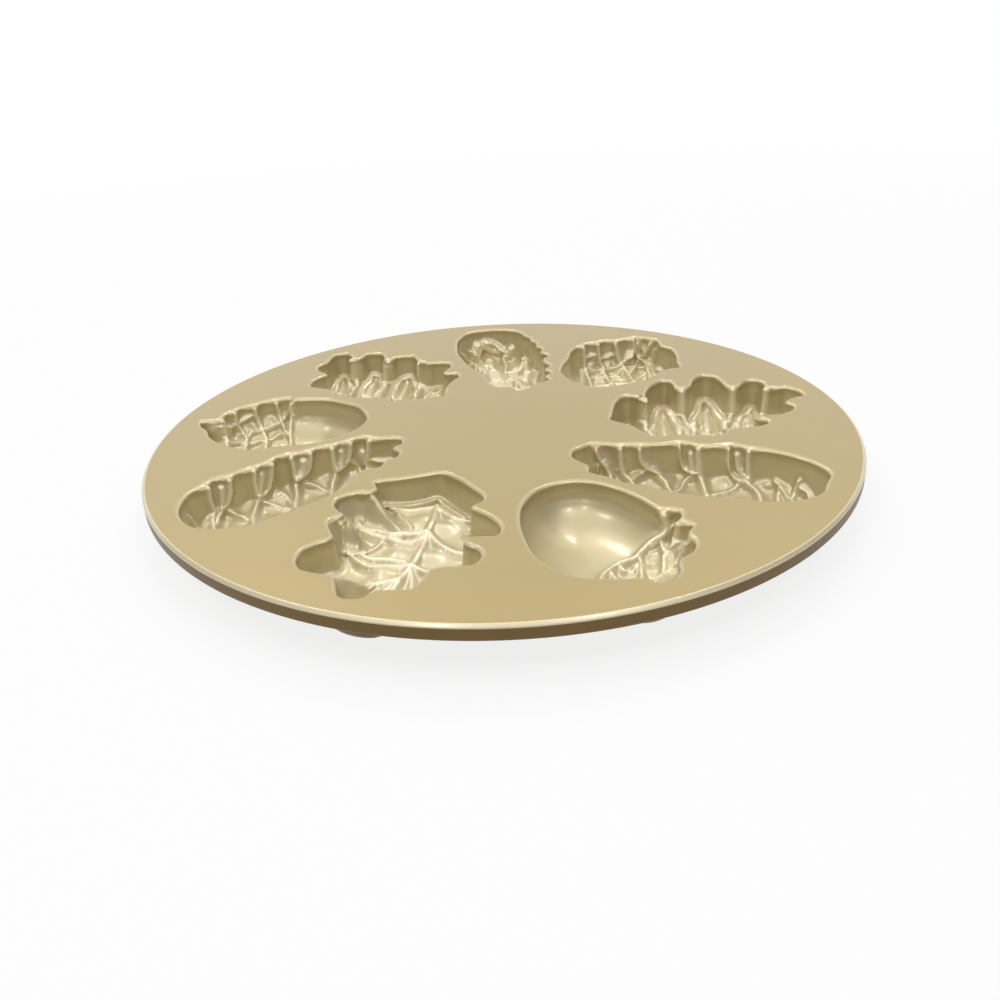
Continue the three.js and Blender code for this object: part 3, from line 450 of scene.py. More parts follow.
OVAL_CONE = {
    "node": "oval_cone_well", "reach": 105.6, "bearing": 88.5, "axis": 96,
    "depth": 21, "wall": 12, "belly": 9, "foot": 9,
    "outline": (
        (27, 25.5), (40.5, 23.5), (50.5, 17.5), (55, 9), (56, -1.5), (51.5, -12), (42.5, -18.8),
        (38, -20), (32.5, -22.6), (28, -22.2), (21.5, -25), (17, -23.6), (9.5, -26.6), (5, -24.2),
        (-3, -28.2), (-7.5, -24), (-13, -24), (-20.5, -26.4), (-24.5, -22.2), (-32, -24.8),
        (-35.5, -20.6), (-42, -22.2), (-45.5, -17), (-48, -12.5), (-51.5, -9.5), (-56, -1.5), (-49.5, 2),
        (-48, 9.5), (-39.5, 13), (-26, 15), (-12.5, 20.5), (4.5, 24.5), (15.5, 26),
    ),
    "crests": (
        (2.4, 2.0, 0.3, ((37.5, 21.5, 10), (42.5, 16.5, 18), (36, 14, 20.5), (27, 14, 21))),
        (2.4, 2.0, 0.3, ((49, 15.5, 12), (46, 9, 19.5), (38, 9, 21), (28, 9, 21))),
        (2.2, 2.0, 0.3, ((55, 5.5, 8), (55, 1, 9), (53, -5, 12), (50, -8.5, 15))),
        (2.6, 2.0, 0.4, ((22, -4, 21), (22.5, -11.5, 21), (27, -16, 20), (32, -19, 17), (35, -18.5, 15))),
        (2.4, 2.0, 0.3, ((47, -6, 20), (38, -6.5, 21), (30, -5, 21), (22, -4, 21))),
        (2.4, 2.0, 0.3, ((20, -3.5, 21), (12, -4, 21), (6, -8, 21), (0, -8, 21))),
        (2.4, 2.0, 0.3, ((21, 20, 18), (12, 12, 21), (4, 6, 21), (-8, 4, 21), (-12, -6, 21))),
        (2.4, 2.0, 0.3, ((2, 21, 15), (-6, 14, 19), (-14, 8, 20), (-24, 6, 20), (-28, -4, 20))),
        (2.4, 2.0, 0.3, ((-10, -8, 21), (-18, -14, 19), (-24, -19, 12))),
        (2.2, 2.0, 0.3, ((-24, 6, 20), (-34, 4, 18), (-42, -4, 16), (-46, -12, 8))),
    ),
    "studs": (
        (8.5, -3, 21, 2.4, 2.2), (34, -12, 20, 2.6, 1.2), (-4, -2, 21, 4.4, 2.4), (-16, 0, 21, 4.4, 2.4),
        (-4, 12, 20, 4, 2), (-32, -2, 19, 4, 2), (-20, -12, 20, 3.4, 2),
    ),
    "swells": (
        (3.4, 2.2, 1.6, ((53, 10, 11), (50.5, 12, 16.5))),
        (2.6, 1.6, 0.8, ((54, 4.5, 11), (53.5, 0, 14), (52.5, -4, 15))),
        (3.6, 2.0, 1.0, ((48.5, -12, 13), (48, -8.5, 18))),
        (2.4, 2.0, 1.6, ((48.5, 3.5, 19.5), (41, 4, 21))),
        (3.2, 2.4, 2.4, ((26, 3, 21), (13, 3, 21))),
        (2.0, 1.4, 0.4, ((37, 3, 21), (30, 3, 21))),
        (5.0, 2.2, 2.2, ((14, -18.5, 19.5), (4, -14, 21))),
        (2.4, 1.8, 0.8, ((42, 12.5, 20), (33, 12, 21))),
    ),
}

CLOSED_CONE = {
    "node": "closed_cone_well", "reach": 113.8, "bearing": 52.8, "axis": 10,
    "depth": 21, "wall": 11, "belly": 14, "foot": 11,
    "outline": (
        (-36.5, -7), (-33, 4), (-26.5, 15.5), (-21.5, 27), (-12.5, 35), (-4.5, 37), (4.5, 38), (13, 36.5),
        (22, 39), (28.5, 35.5), (34, 28.5), (33, 17), (36.5, 11), (36, 1), (32.5, -11), (30, -21),
        (18.5, -23.5), (13, -29.5), (3, -35), (-6, -37), (-17, -39), (-25, -36.5), (-30, -30.5),
        (-34.5, -21),
    ),
    "crests": (
        (2.6, 2.8, 0.4, (
            (-13.5, 32.5, 1), (-13.5, 31.5, 8), (-13, 30, 16), (-12.5, 21.5, 20.5), (-14, 8, 21),
            (-17, -8, 21), (-21, -24, 20), (-23, -33, 8))),
        (2.6, 3.2, 0.2, (
            (-3, 36, 2), (-2.5, 35.5, 10.5), (-0.5, 32.5, 18), (-1, 22, 21), (-1, 10, 21), (-4, -6, 21),
            (-8, -22, 21), (-10, -34, 10))),
        (2.6, 3.2, 0.2, (
            (9, 35.5, 3), (10.5, 34.5, 10.5), (12, 32, 17), (13, 22, 21), (12, 8, 21), (8, -8, 21),
            (4, -24, 20), (2, -33, 6))),
        (2.6, 3.0, 0.2, (
            (19.5, 37, 2), (20, 36.5, 6.5), (24, 35.5, 13), (27, 32, 16), (28, 27, 18), (26, 16, 21),
            (22, 2, 21), (18, -12, 20), (15, -24, 8))),
        (2.2, 2.8, 0.2, (
            (-13, 30, 16), (-8.5, 30, 18), (-4, 31, 18.5), (1, 32, 18.5), (7, 31.5, 18.5),
            (11, 32.5, 16.5), (15, 34.5, 12.5), (19, 36, 8))),
        (2.2, 2.8, 0.2, ((13, 22, 21), (17.5, 27, 20), (21, 32, 17), (24, 35.5, 13))),
        (2.2, 2.8, 0.2, ((-12.5, 21.5, 20.5), (-6, 24, 21), (-0.5, 30, 19))),
        (2.2, 2.8, 0.2, ((-1, 22, 21), (6, 24, 21), (12, 30, 18.5), (28, 27, 18))),
        (1.8, 2.6, 0.1, ((-13.5, 31.5, 8), (-8, 34.5, 8.5), (-2.5, 35.5, 7))),
        (1.8, 2.6, 0.1, ((-2.5, 35.5, 10.5), (3.5, 36, 10.5), (9, 35, 8))),
        (2.0, 2.8, 0.1, ((12, 8, 21), (18, 16, 21), (28, 22, 18))),
        (2.0, 2.6, 0.2, ((24, 36, 13), (28, 33, 10), (30.5, 31.5, 4))),
        (2.0, 2.6, 0.2, ((28, 27, 18), (31.5, 27, 12.5), (33, 24, 6))),
        (2.2, 2.8, 0.2, ((-14, 8, 21), (-1, 10, 21), (12, 8, 21), (22, 2, 21), (33, 4, 12))),
        (2.2, 2.8, 0.2, ((-17, -8, 21), (-4, -6, 21), (8, -8, 21), (18, -12, 20), (29, -10, 12))),
        (2.2, 2.8, 0.2, ((-21, -24, 20), (-8, -22, 21), (4, -24, 20), (15, -24, 8))),
    ),
    "studs": (
        (-7, 34, 14.5, 2.8, 2.4), (4.5, 34.5, 15, 2.8, 2.4), (17, 35, 11.5, 3, 2.2), (18, 28, 20, 3.4, 2),
        (-4, 22.5, 21, 3.2, 2.4), (7, 21, 21, 2.8, 2), (23.5, 36.5, 5.5, 2.6, 1.8),
        (27.5, 34, 8.5, 2.4, 2.2), (30, 30.5, 13.5, 2.4, 1.8), (30, 15.5, 15.5, 2.4, 2),
        (-7, 15, 21, 3, 1.4), (5, 15, 21, 3, 1.4), (19, 9, 21, 3, 1.4), (-10, 0, 21, 3, 1.4),
        (3, 0, 21, 3, 1.4), (15, -4, 21, 3, 1.4), (-12, -15, 21, 3, 1.4), (0, -15, 21, 3, 1.4),
        (11, -17, 20, 3, 1.4),
    ),
}

WELLS = (
    LEAF, HAZELNUT, LONG_CONE_LEFT, LONG_CONE_RIGHT, ACORN, OPEN_CONE_LEFT, OPEN_CONE_RIGHT, OVAL_CONE,
    CLOSED_CONE,
)


class PanSizes(bpy.types.PropertyGroup):
    """Sizes of the casting's surfaces"""
    lip_radius: FloatProperty(
        name="Lip radius", description="Rounding of the edge of each cavity",
        default=2.5 * MM, unit="LENGTH")
    draft: FloatProperty(
        name="Draft", description="Slope of the cavity walls from upright",
        default=radians(5), unit="ROTATION")
    crest_round: FloatProperty(
        name="Crest rounding", description="How far the top of a crest is rounded",
        default=0.3 * MM, unit="LENGTH")
    crest_rise: FloatProperty(
        name="Crest rise", description="Share of their listed height to which the crests rise", default=1.4)
    crest_spread: FloatProperty(
        name="Crest spread", description="Share of their listed width over which the crests fall away",
        default=0.55)
    mesh_step: FloatProperty(
        name="Mesh step", description="Distance between points on the sculpted surfaces",
        default=0.42 * MM, unit="LENGTH")
    wall_thickness: FloatProperty(
        name="Wall thickness", description="Casting thickness beside a cavity",
        default=2.5 * MM, unit="LENGTH")
    chamfer: FloatProperty(
        name="Edge chamfer", description="Size of the bevel round the deck's edge",
        default=1.1 * MM, unit="LENGTH")
    edge_round: FloatProperty(
        name="Edge rounding", description="Radius of the corners of the rim",
        default=0.4 * MM, unit="LENGTH")
    rim_width: FloatProperty(
        name="Rim width", description="Thickness of the turned-down rim",
        default=6 * MM, unit="LENGTH")
    round_steps: IntProperty(
        name="Round steps", description="Straight pieces round the pan's edge",
        default=360)


class PanFinish(bpy.types.PropertyGroup):
    """Colours and gloss of the coat, with its painted light, painted shade and painted highlight"""
    coat: StringProperty(name="Coat", description="sRGB colour of the coat", default="#B49E65")
    # Painted light: the coat inside the cavities, painted paler and greyer to offset their shade and
    # coloured bounce light
    painted_light_hollow: StringProperty(
        name="Hollows", description="sRGB colour of the coat inside the cavities", default="#CCBE95")
    # Painted shade: the outside and underside are the same gold coat, painted darker for the shade on them
    outside: StringProperty(
        name="Outside", description="sRGB colour of the thinner coat on the outside and underside",
        default="#6E5628")
    # Painted highlight: this pale colour stands in for the light caught by crests, swells, lips and the
    # pan's edge
    crest: StringProperty(
        name="Crests", description="sRGB colour on the crests, where the coat is thinnest",
        default="#EEE3C2")
    roughness: FloatProperty(
        name="Roughness", description="Roughness of the satin coat", default=0.42, subtype="FACTOR")
    grit: FloatProperty(
        name="Grit", description="Size of the coat's fine grain", default=0.5 * MM, unit="LENGTH")


class StageSettings(bpy.types.PropertyGroup):
    """Camera and light of the studio"""
    eye: FloatVectorProperty(
        name="Eye", description="Place of the camera", default=(0, -0.45331, 0.21888), unit="LENGTH")
    heading: FloatProperty(
        name="Heading", description="Turn of the camera to the right",
        default=radians(-0.298), unit="ROTATION")
    look_down: FloatProperty(
        name="Look down", description="Slope of the view below level",
        default=radians(27.258), unit="ROTATION")
    roll: FloatProperty(
        name="Roll", description="Turn of the camera about its view",
        default=radians(-2.911), unit="ROTATION")
    lens: FloatProperty(name="Lens", description="Focal length in mm on a 36 mm sensor", default=36)
    sky: FloatProperty(name="Sky", description="Strength of the even light", default=0.2)
    overhead: FloatProperty(name="Overhead", description="Power of the overhead panel in W", default=14)
    front: FloatProperty(name="Front", description="Power of the front strip in W", default=4.5)
    lamp: FloatProperty(name="Lamps", description="Power of each round ceiling lamp in W", default=3.5)


def sizes():
    return bpy.context.scene.cakelet_pan_sizes


def finish_settings():
    return bpy.context.scene.cakelet_pan_finish


def linear(hex_colour):
    """An sRGB hex value as a linear colour."""
    parts = [int(hex_colour[i:i + 2], 16) / 255 for i in (1, 3, 5)]
    return [c / 12.92 if c <= 0.04045 else ((c + 0.055) / 1.055) ** 2.4 for c in parts] + [1]


def spline(corners, step, closed):
    """Points about a step apart on a smooth curve through the corners."""
    corners = np.array(corners, float)
    count = len(corners)
    if not closed:
        corners = np.vstack([2 * corners[0] - corners[1], corners, 2 * corners[-1] - corners[-2]])
    runs = []
    for i in range(count if closed else count - 1):
        a, b, c, d = (corners[(i - 1 + k) % count] if closed else corners[i + k] for k in range(4))
        t1 = np.linalg.norm(b - a) ** 0.5
        t2 = t1 + np.linalg.norm(c - b) ** 0.5
        t3 = t2 + np.linalg.norm(d - c) ** 0.5
        t = np.linspace(t1, t2, max(2, ceil(np.linalg.norm(c - b) / step * 2)), endpoint=False)[:, None]
        ab = ((t1 - t) * a + t * b) / t1
        bc = ((t2 - t) * b + (t - t1) * c) / (t2 - t1)
        cd = ((t3 - t) * c + (t - t2) * d) / (t3 - t2)
        runs.append((((t2 - t) * ab + t * bc) / t2 * (t2 - t) + ((t3 - t) * bc + (t - t1) * cd) / (t3 - t1)
                     * (t - t1)) / (t2 - t1))
    points = np.vstack(runs + ([] if closed else [corners[-2:-1]]))
    return evenly(points, step, closed)


def evenly(points, step, closed):
    """The same line with its points an even distance apart."""
    line = np.vstack([points, points[:1]]) if closed else points
    walk = np.concatenate([[0], np.cumsum(np.linalg.norm(np.diff(line, axis=0), axis=1))])
    count = max(2, round(walk[-1] / step))
    marks = np.linspace(0, walk[-1], count + (not closed), endpoint=not closed)
    return np.stack([np.interp(marks, walk, line[:, k]) for k in range(line.shape[1])], axis=1)


def outline_of(well, step):
    """The smooth outline of a cavity's lip, counter-clockwise, in the well's own plan."""
    ring = spline(well["outline"], step, True)
    after = np.roll(ring, -1, 0)
    area = np.sum(ring[:, 0] * after[:, 1] - after[:, 0] * ring[:, 1])
    ring = ring if area > 0 else ring[::-1]
    for _ in range(8):
        ring = (np.roll(ring, 1, 0) + 2 * ring + np.roll(ring, -1, 0)) / 4
    return evenly(ring - inward(ring) * LIP_SPREAD, step, True)


def inward(ring):
    """Unit vectors pointing into a counter-clockwise ring."""
    along = np.roll(ring, -1, 0) - np.roll(ring, 1, 0)
    normals = np.stack([-along[:, 1], along[:, 0]], axis=1)
    return normals / np.linalg.norm(normals, axis=1)[:, None]


def nearest_on(ring, points):
    """The nearest place on a finely stepped closed ring for each point."""
    closest = ((ring ** 2).sum(1) - 2 * points @ ring.T).argmin(1)
    places = ring[closest]
    for turn in (-1, 1):
        start = ring[closest]
        side = ring[(closest + turn) % len(ring)] - start
        share = np.clip(((points - start) * side).sum(1) / np.maximum((side ** 2).sum(1), 1e-9), 0, 1)
        spots = start + share[:, None] * side
        nearer = ((points - spots) ** 2).sum(1) < ((points - places) ** 2).sum(1)
        places = np.where(nearer[:, None], spots, places)
    return places


def is_inside(ring, points):
    """Which points lie inside a closed ring."""
    x, y = points[:, :1], points[:, 1:2]
    after = np.roll(ring, -1, 0)
    rise = np.where(after[:, 1] == ring[:, 1], 1e-9, after[:, 1] - ring[:, 1])
    spans = (ring[:, 1] > y) != (after[:, 1] > y)
    left = x < ring[:, 0] + (after[:, 0] - ring[:, 0]) * (y - ring[:, 1]) / rise
    return (spans & left).sum(1) % 2 == 1


def depth_at(well, inset):
    """Depth of the plain cavity at a distance from its outline: lip, drafted wall, belly, floor."""
    lip = sizes().lip_radius / MM
    slope = tan(sizes().draft)
    foot = lip + (well["wall"] - lip) * slope
    round_part = lip - np.sqrt(np.clip(lip ** 2 - np.clip(inset, 0, lip) ** 2, 0, None))
    wall_part = lip + (inset - lip) / slope
    run = np.clip((inset - foot) / well["belly"], 0, 1)
    belly_part = well["wall"] + (well["depth"] - well["wall"]) * np.sqrt(1 - (1 - run) ** 2)
    return np.where(inset < lip, round_part, np.where(inset < foot, wall_part, belly_part))


def ring_insets(well, step):
    """Distances from the outline at which the lip, the wall and the start of the belly get a ring."""
    lip = sizes().lip_radius / MM
    slope = tan(sizes().draft)
    foot = lip + (well["wall"] - lip) * slope
    turns = np.linspace(0, pi / 2, 8)[1:-1]
    downs = np.arange(lip, well["wall"], step)
    drop = well["depth"] - well["wall"]
    angles = np.arange(0, pi / 2, step / max(drop, 4))
    bends = foot + well["belly"] * (1 - np.cos(angles))
    return np.concatenate([lip * np.sin(turns), lip + (downs - lip) * slope, bends[bends < foot + 1.4]])


def cavity_rings(well, outline, step):
    """Rings down the wall, each moved in from the last until it is at its distance from the outline."""
    ring = outline + inward(outline) * 0.05
    rings = []
    for inset in ring_insets(well, step):
        moved = ring.copy()
        for _ in range(3):
            away = moved - nearest_on(outline, moved)
            reach = np.linalg.norm(away, axis=1)[:, None]
            moved = moved + away / np.maximum(reach, 1e-6) * (inset - reach)
        reach = np.linalg.norm(moved - nearest_on(outline, moved), axis=1)
        held = (np.abs(reach - inset) > 0.02) | ~is_inside(outline, moved)
        moved[held] = ring[held]
        ring = moved
        inset_here = np.linalg.norm(ring - nearest_on(outline, ring), axis=1)
        rings.append(np.column_stack([ring, TOP - depth_at(well, inset_here)]))
    return rings


def grow_loop(bm, edges, rings):
    """Extrudes an edge loop through a list of rings and returns the last loop's vertices."""
    loop = None
    for ring in rings:
        made = bmesh.ops.extrude_edge_only(bm, edges=edges)["geom"]
        edges = [item for item in made if isinstance(item, bmesh.types.BMEdge)]
        loop = [item for item in made if isinstance(item, bmesh.types.BMVert)]
        for vertex, place in zip(loop, ring):
            vertex.co = place
    return loop, edges


def start_loop(bm, ring):
    """A closed loop of edges through a ring of points."""
    loop = [bm.verts.new(place) for place in ring]
    return loop, [bm.edges.new((loop[i - 1], vertex)) for i, vertex in enumerate(loop)]


def floor_points(ring, step):
    """Points inside a ring, spread as the corners of even triangles."""
    low, high = ring.min(0), ring.max(0)
    across = np.arange(low[0], high[0], step)
    row_step = step * 0.866
    rows = []
    for i, y in enumerate(np.arange(low[1], high[1], row_step)):
        rows.append(np.column_stack([across + (i % 2) * step / 2, np.full(len(across), y)]))
    points = np.vstack(rows)
    points = points[is_inside(ring, points)]
    clear = np.linalg.norm(points - nearest_on(ring, points), axis=1) > step * 0.6
    return points[clear]


def fill_floor(bm, well, outline, loop, last, step):
    """The floor inside the last ring, as even triangles."""
    ring = last[:, :2]
    points = floor_points(ring, step)
    count = len(loop)
    plan = [Vector(p) for p in np.vstack([ring, points])]
    sides = [(i, (i + 1) % count) for i in range(count)]
    places, _, faces, origins, _, _ = delaunay_2d_cdt(plan, sides, [], 1, 1e-6)
    spots = np.array([tuple(p) for p in places])
    inset = np.linalg.norm(spots - nearest_on(outline, spots), axis=1)
    heights = TOP - depth_at(well, inset)
    vertices = []
    for i, source in enumerate(origins):
        on_ring = source and source[0] < count
        vertices.append(loop[source[0]] if on_ring else bm.verts.new((*spots[i], heights[i])))
    for face in faces:
        corners = [vertices[i] for i in face]
        if len(set(corners)) == 3:
            bm.faces.new(corners)
    rim = set(loop)
    return [vertex for vertex in vertices if vertex not in rim]


def raise_tongues(bm, well):
    """Raises the surface where a tongue of metal slopes down from a notch in the outline to the floor."""
    for course in well.get("tongues", ()):
        line = spline(course, COURSE_STEP, False)
        for vertex in bm.verts:
            apart = (line[:, 0] - vertex.co.x) ** 2 + (line[:, 1] - vertex.co.y) ** 2
            fall = TONGUE_SLOPE * (np.sqrt(apart + TONGUE_ROUND ** 2) - TONGUE_ROUND)
            vertex.co.z = max(vertex.co.z, TOP - float((line[:, 2] + fall).min()))


def relief_on(surface, well):
    """How far each point of the cavity rises by crests, studs and swells, and how much painted highlight it
    gets there.
    """
    square = (surface ** 2).sum(1)
    rounding = sizes().crest_round / MM
    total = np.zeros(len(surface))
    highlight_share = np.zeros(len(surface))
    for height, width, flat, course in well["crests"]:
        near = distance_to(surface, square, course, flat)
        fall = (np.sqrt(near ** 2 + rounding ** 2) - rounding) / (width * sizes().crest_spread)
        total += (height * sizes().crest_rise * np.exp(-fall)) ** 4
        highlight_share = np.maximum(highlight_share, np.exp(-(near / PAINTED_HIGHLIGHT_HALF_WIDTH) ** 2) * min(height / PAINTED_HIGHLIGHT_CREST_HEIGHT, 1))
    total = total ** 0.25
    for along, across, depth, radius, height in well.get("studs", ()):
        spot = on_surface(surface, square, np.array([[along, across, TOP - depth]]))
        mound = np.exp(-((surface - spot) ** 2).sum(1) / radius ** 2)
        total += height * mound
        highlight_share = np.maximum(highlight_share, mound * PAINTED_HIGHLIGHT_STUD_SHARE * min(height / PAINTED_HIGHLIGHT_SWELL_HEIGHT, 1))
    for height, width, flat, course in well.get("swells", ()):
        mound = np.exp(-(distance_to(surface, square, course, flat) / width) ** 2)
        total += height * mound
        highlight_share = np.maximum(highlight_share, mound * min(height / PAINTED_HIGHLIGHT_SWELL_HEIGHT, 1))
    return total, highlight_share


def add_relief(bm, well):
    """Raises the relief out of the plain cavity, square to its surface, and marks where the painted
    highlight goes.
    """
    bm.normal_update()
    surface = np.array([v.co for v in bm.verts], np.float32)
    total, highlight_share = relief_on(surface, well)
    down = TOP - surface[:, 2]
    deep = np.clip((down - RELIEF_START) / RELIEF_GROWTH, 0, 1)
    growth = deep * deep * (3 - 2 * deep)
    # Painted highlight along each lip, strongest at its depth below the deck
    lip = np.clip(1 - np.abs(down - PAINTED_HIGHLIGHT_LIP_DEPTH) / PAINTED_HIGHLIGHT_LIP_DEPTH, 0, 1) * PAINTED_HIGHLIGHT_LIP_SHARE
    # The crest layer holds each point's share of painted highlight
    painted_highlight_layer = bm.verts.layers.float.new("crest")
    for vertex, rise, share in zip(bm.verts, total * growth, np.maximum(highlight_share * growth, lip)):
        vertex.co += vertex.normal * float(rise)
        vertex[painted_highlight_layer] = float(share)
    sculpted = [vertex for vertex, depth in zip(bm.verts, down) if depth > SMOOTHED_BELOW]
    for _ in range(2):
        bmesh.ops.smooth_vert(
            bm, verts=sculpted, factor=0.5, use_axis_x=True, use_axis_y=True, use_axis_z=True)


def distance_to(surface, square, course, flat):
    """Distance of each point of the surface from a course, less the flat half-width of its top."""
    line = course_on_surface(surface, square, course)
    squares = square[:, None] + (line ** 2).sum(1) - 2 * surface @ line.T
    return np.maximum(np.sqrt(np.maximum(squares, 0).min(1)) - flat, 0)


def on_surface(surface, square, points):
    """The vertices of the surface nearest to the points."""
    points = points.astype(np.float32)
    return surface[(square[:, None] - 2 * surface @ points.T).argmin(0)]


def course_on_surface(surface, square, course):
    """A crest's course as closely set points on the cavity's surface."""
    corners = [(along, across, TOP - depth) for along, across, depth in course]
    held = on_surface(surface, square, np.array(corners))
    apart = [held[0]] + [here for last, here in zip(held, held[1:]) if np.linalg.norm(here - last) > 0.1]
    return on_surface(surface, square, spline(apart, COURSE_STEP, False))


def body_rays(well):
    """Starts and directions of rays round a spine along the well, even round its whole outline."""
    plan = np.array(well["outline"], float)
    length, width = np.ptp(plan, axis=0)
    spine = max(length - width, 0) / 2
    half_round = pi * width / 2
    half = 2 * spine + half_round
    starts, aways = [], []
    for i in range(BODY_RAYS):
        walk = i / BODY_RAYS * 2 * half
        side = 1 if walk < half else -1
        on_side = walk % half
        turn = max(on_side - 2 * spine, 0) / half_round
        angle = (turn - 0.5 * side) * pi
        starts.append((side * (min(on_side, 2 * spine) - spine), 0))
        aways.append((cos(angle), sin(angle)))
    return np.array(starts), np.array(aways)


def body_reaches(well, outline, starts, aways):
    """How far the well's outside reaches along each ray at the deck's underside."""
    lip = sizes().lip_radius / MM
    cavity = outline + inward(outline) * (lip + tan(sizes().draft) * (TOP - DECK_UNDER - lip))
    reaches = []
    for start, away in zip(starts, aways):
        offset = cavity - start
        beside = np.abs(offset[:, 0] * away[1] - offset[:, 1] * away[0]) < RAY_REACH
        reaches.append((offset[beside] @ away).max() + sizes().wall_thickness / MM)
    return smooth_round(np.array(reaches))[:, None]


def well_root(well, outline, inset):
    """The plan of the well's outside where it leaves the deck, moved in by a distance."""
    starts, aways = body_rays(well)
    return starts + aways * (body_reaches(well, outline, starts, aways) - inset)


def body_rings(well, outline):
    """Rings of the well's outside from the deck's underside to its flat foot."""
    starts, aways = body_rays(well)
    reaches = body_reaches(well, outline, starts, aways)
    slope = tan(sizes().draft)
    foot = DEEPEST - well["depth"]
    round_foot = well["foot"]
    wall_inset = slope * (DECK_UNDER - foot - round_foot)
    steps = [(DECK_UNDER + 0.3, 0), (DECK_UNDER - 4, slope * 4)]
    for angle in np.linspace(0, pi / 2, 13):
        steps.append((foot + round_foot * (1 - sin(angle)), wall_inset + round_foot * (1 - cos(angle))))
    return [np.column_stack([starts + aways * (reaches - inset), np.full(len(starts), height)])
            for height, inset in steps]


def smooth_round(values):
    """A closed row of values, smoothed without going below the first ones."""
    smooth = values
    for _ in range(BODY_SMOOTHING):
        smooth = np.maximum(values - 0.3, (np.roll(smooth, 1) + smooth + np.roll(smooth, -1)) / 3)
    return smooth


def place_of(well):
    """Turns and moves a well from its own plan to its place in the pan."""
    bearing = radians(well["bearing"])
    spot = Vector((cos(bearing), sin(bearing), 0)) * well["reach"]
    return Matrix.Translation(spot) @ Matrix.Rotation(radians(well["axis"]), 4, "Z")


def add_piece(name, bm, node):
    """Stores a mesh made in millimetres as a smooth piece that stands for a node."""
    bmesh.ops.recalc_face_normals(bm, faces=bm.faces)
    bmesh.ops.scale(bm, vec=(MM, MM, MM), verts=bm.verts)
    mesh = bpy.data.meshes.new(name)
    bm.to_mesh(mesh)
    bm.free()
    mesh.polygons.foreach_set("use_smooth", [True] * len(mesh.polygons))
    mesh.materials.append(coated_aluminium("coated_aluminium", finish_settings().coat, GLOSS))
    # The second material carries the painted shade of the outside and underside
    mesh.materials.append(coated_aluminium("outside_painted_shade", finish_settings().outside, OUTSIDE_GLOSS))
    piece = bpy.data.objects.new(name, mesh)
    bpy.context.scene.collection.objects.link(piece)
    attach(piece, BODY)
    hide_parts(node)
    return piece


def border_ring(outline):
    """The ring just outside a cavity's lip, where its piece meets the deck's."""
    return outline - inward(outline) * FLAT_BORDER


def build_well(well):
    """One well: lip, wall and sculpted floor of its cavity, and its plain outside with a flat foot."""
    step = sizes().mesh_step / MM
    outline = outline_of(well, step)
    flat = np.column_stack([outline, np.full(len(outline), TOP)])
    border = np.column_stack([border_ring(outline), np.full(len(outline), TOP)])
    bm = bmesh.new()
    _, edges = start_loop(bm, border)
    rings = cavity_rings(well, outline, step)
    loop, edges = grow_loop(bm, edges, [flat] + rings)
    inner = fill_floor(bm, well, outline, loop, rings[-1], step)
    for _ in range(14):
        bmesh.ops.smooth_vert(bm, verts=inner, factor=0.5, use_axis_z=True)
    bmesh.ops.recalc_face_normals(bm, faces=bm.faces)
    bm.normal_update()
    if sum(face.normal.z for face in bm.faces) < 0:
        bmesh.ops.reverse_faces(bm, faces=bm.faces)
    raise_tongues(bm, well)
    add_relief(bm, well)
    body = body_rings(well, outline)
    cavity_faces = set(bm.faces)
    _, edges = start_loop(bm, body[0])
    _, edges = grow_loop(bm, edges, body[1:])
    bmesh.ops.edgeloop_fill(bm, edges=edges)
    # The well's outside gets the painted shade material
    for face in bm.faces:
        face.material_index = 0 if face in cavity_faces else 1
    bmesh.ops.transform(bm, matrix=place_of(well), verts=bm.verts)
    return add_piece(well["node"].replace("_well", "_cavity"), bm, well["node"])


def circle(radius, height, steps):
    """A ring of points round the pan's middle."""
    angles = [2 * pi * i / steps for i in range(steps)]
    return [(radius * cos(angle), radius * sin(angle), height) for angle in angles]


def build_deck():
    """The deck: its flat top round the nine cavities, and its flat underside."""
    step = sizes().mesh_step / MM
    steps = sizes().round_steps
    bm = bmesh.new()
    _, edges = start_loop(bm, circle(deck_edge(), TOP, steps))
    for well in WELLS:
        border = border_ring(outline_of(well, step))
        ring = [place_of(well) @ Vector((*place, TOP)) for place in border]
        edges += start_loop(bm, ring)[1]
    bmesh.ops.triangle_fill(bm, use_beauty=True, use_dissolve=False, edges=edges, normal=(0, 0, 1))
    inner = RADIUS - sizes().rim_width / MM
    _, under = start_loop(bm, circle(inner, DECK_UNDER, steps))
    for well in WELLS:
        root = well_root(well, outline_of(well, step), 1)
        under += start_loop(bm, [place_of(well) @ Vector((*place, DECK_UNDER)) for place in root])[1]
    bmesh.ops.triangle_fill(bm, use_beauty=True, use_dissolve=False, edges=under, normal=(0, 0, -1))
    # The underside gets the painted shade material
    for face in bm.faces:
        face.material_index = 0 if face.calc_center_median().z > DECK_UNDER + 1 else 1
    return add_piece("deck", bm, "deck_plate")


def deck_edge():
    """Radius at which the deck's piece meets the rim's."""
    return RADIUS - 2 * sizes().chamfer / MM


def rounded_corner(before, corner, after, radius, steps=5):
    """Points of an arc that rounds one corner of a section."""
    before, corner, after = (Vector(p) for p in (before, corner, after))
    back, on = (before - corner).normalized(), (after - corner).normalized()
    half = back.angle(on) / 2
    trim = radius / tan(half)
    middle = corner + (back + on).normalized() * (radius / sin(half))
    start, end = corner + back * trim, corner + on * trim
    sweep = (start - middle).angle_signed(end - middle)
    turns = [Matrix.Rotation(-sweep * i / steps, 2) for i in range(steps + 1)]
    return [tuple(middle + turn @ (start - middle)) for turn in turns]


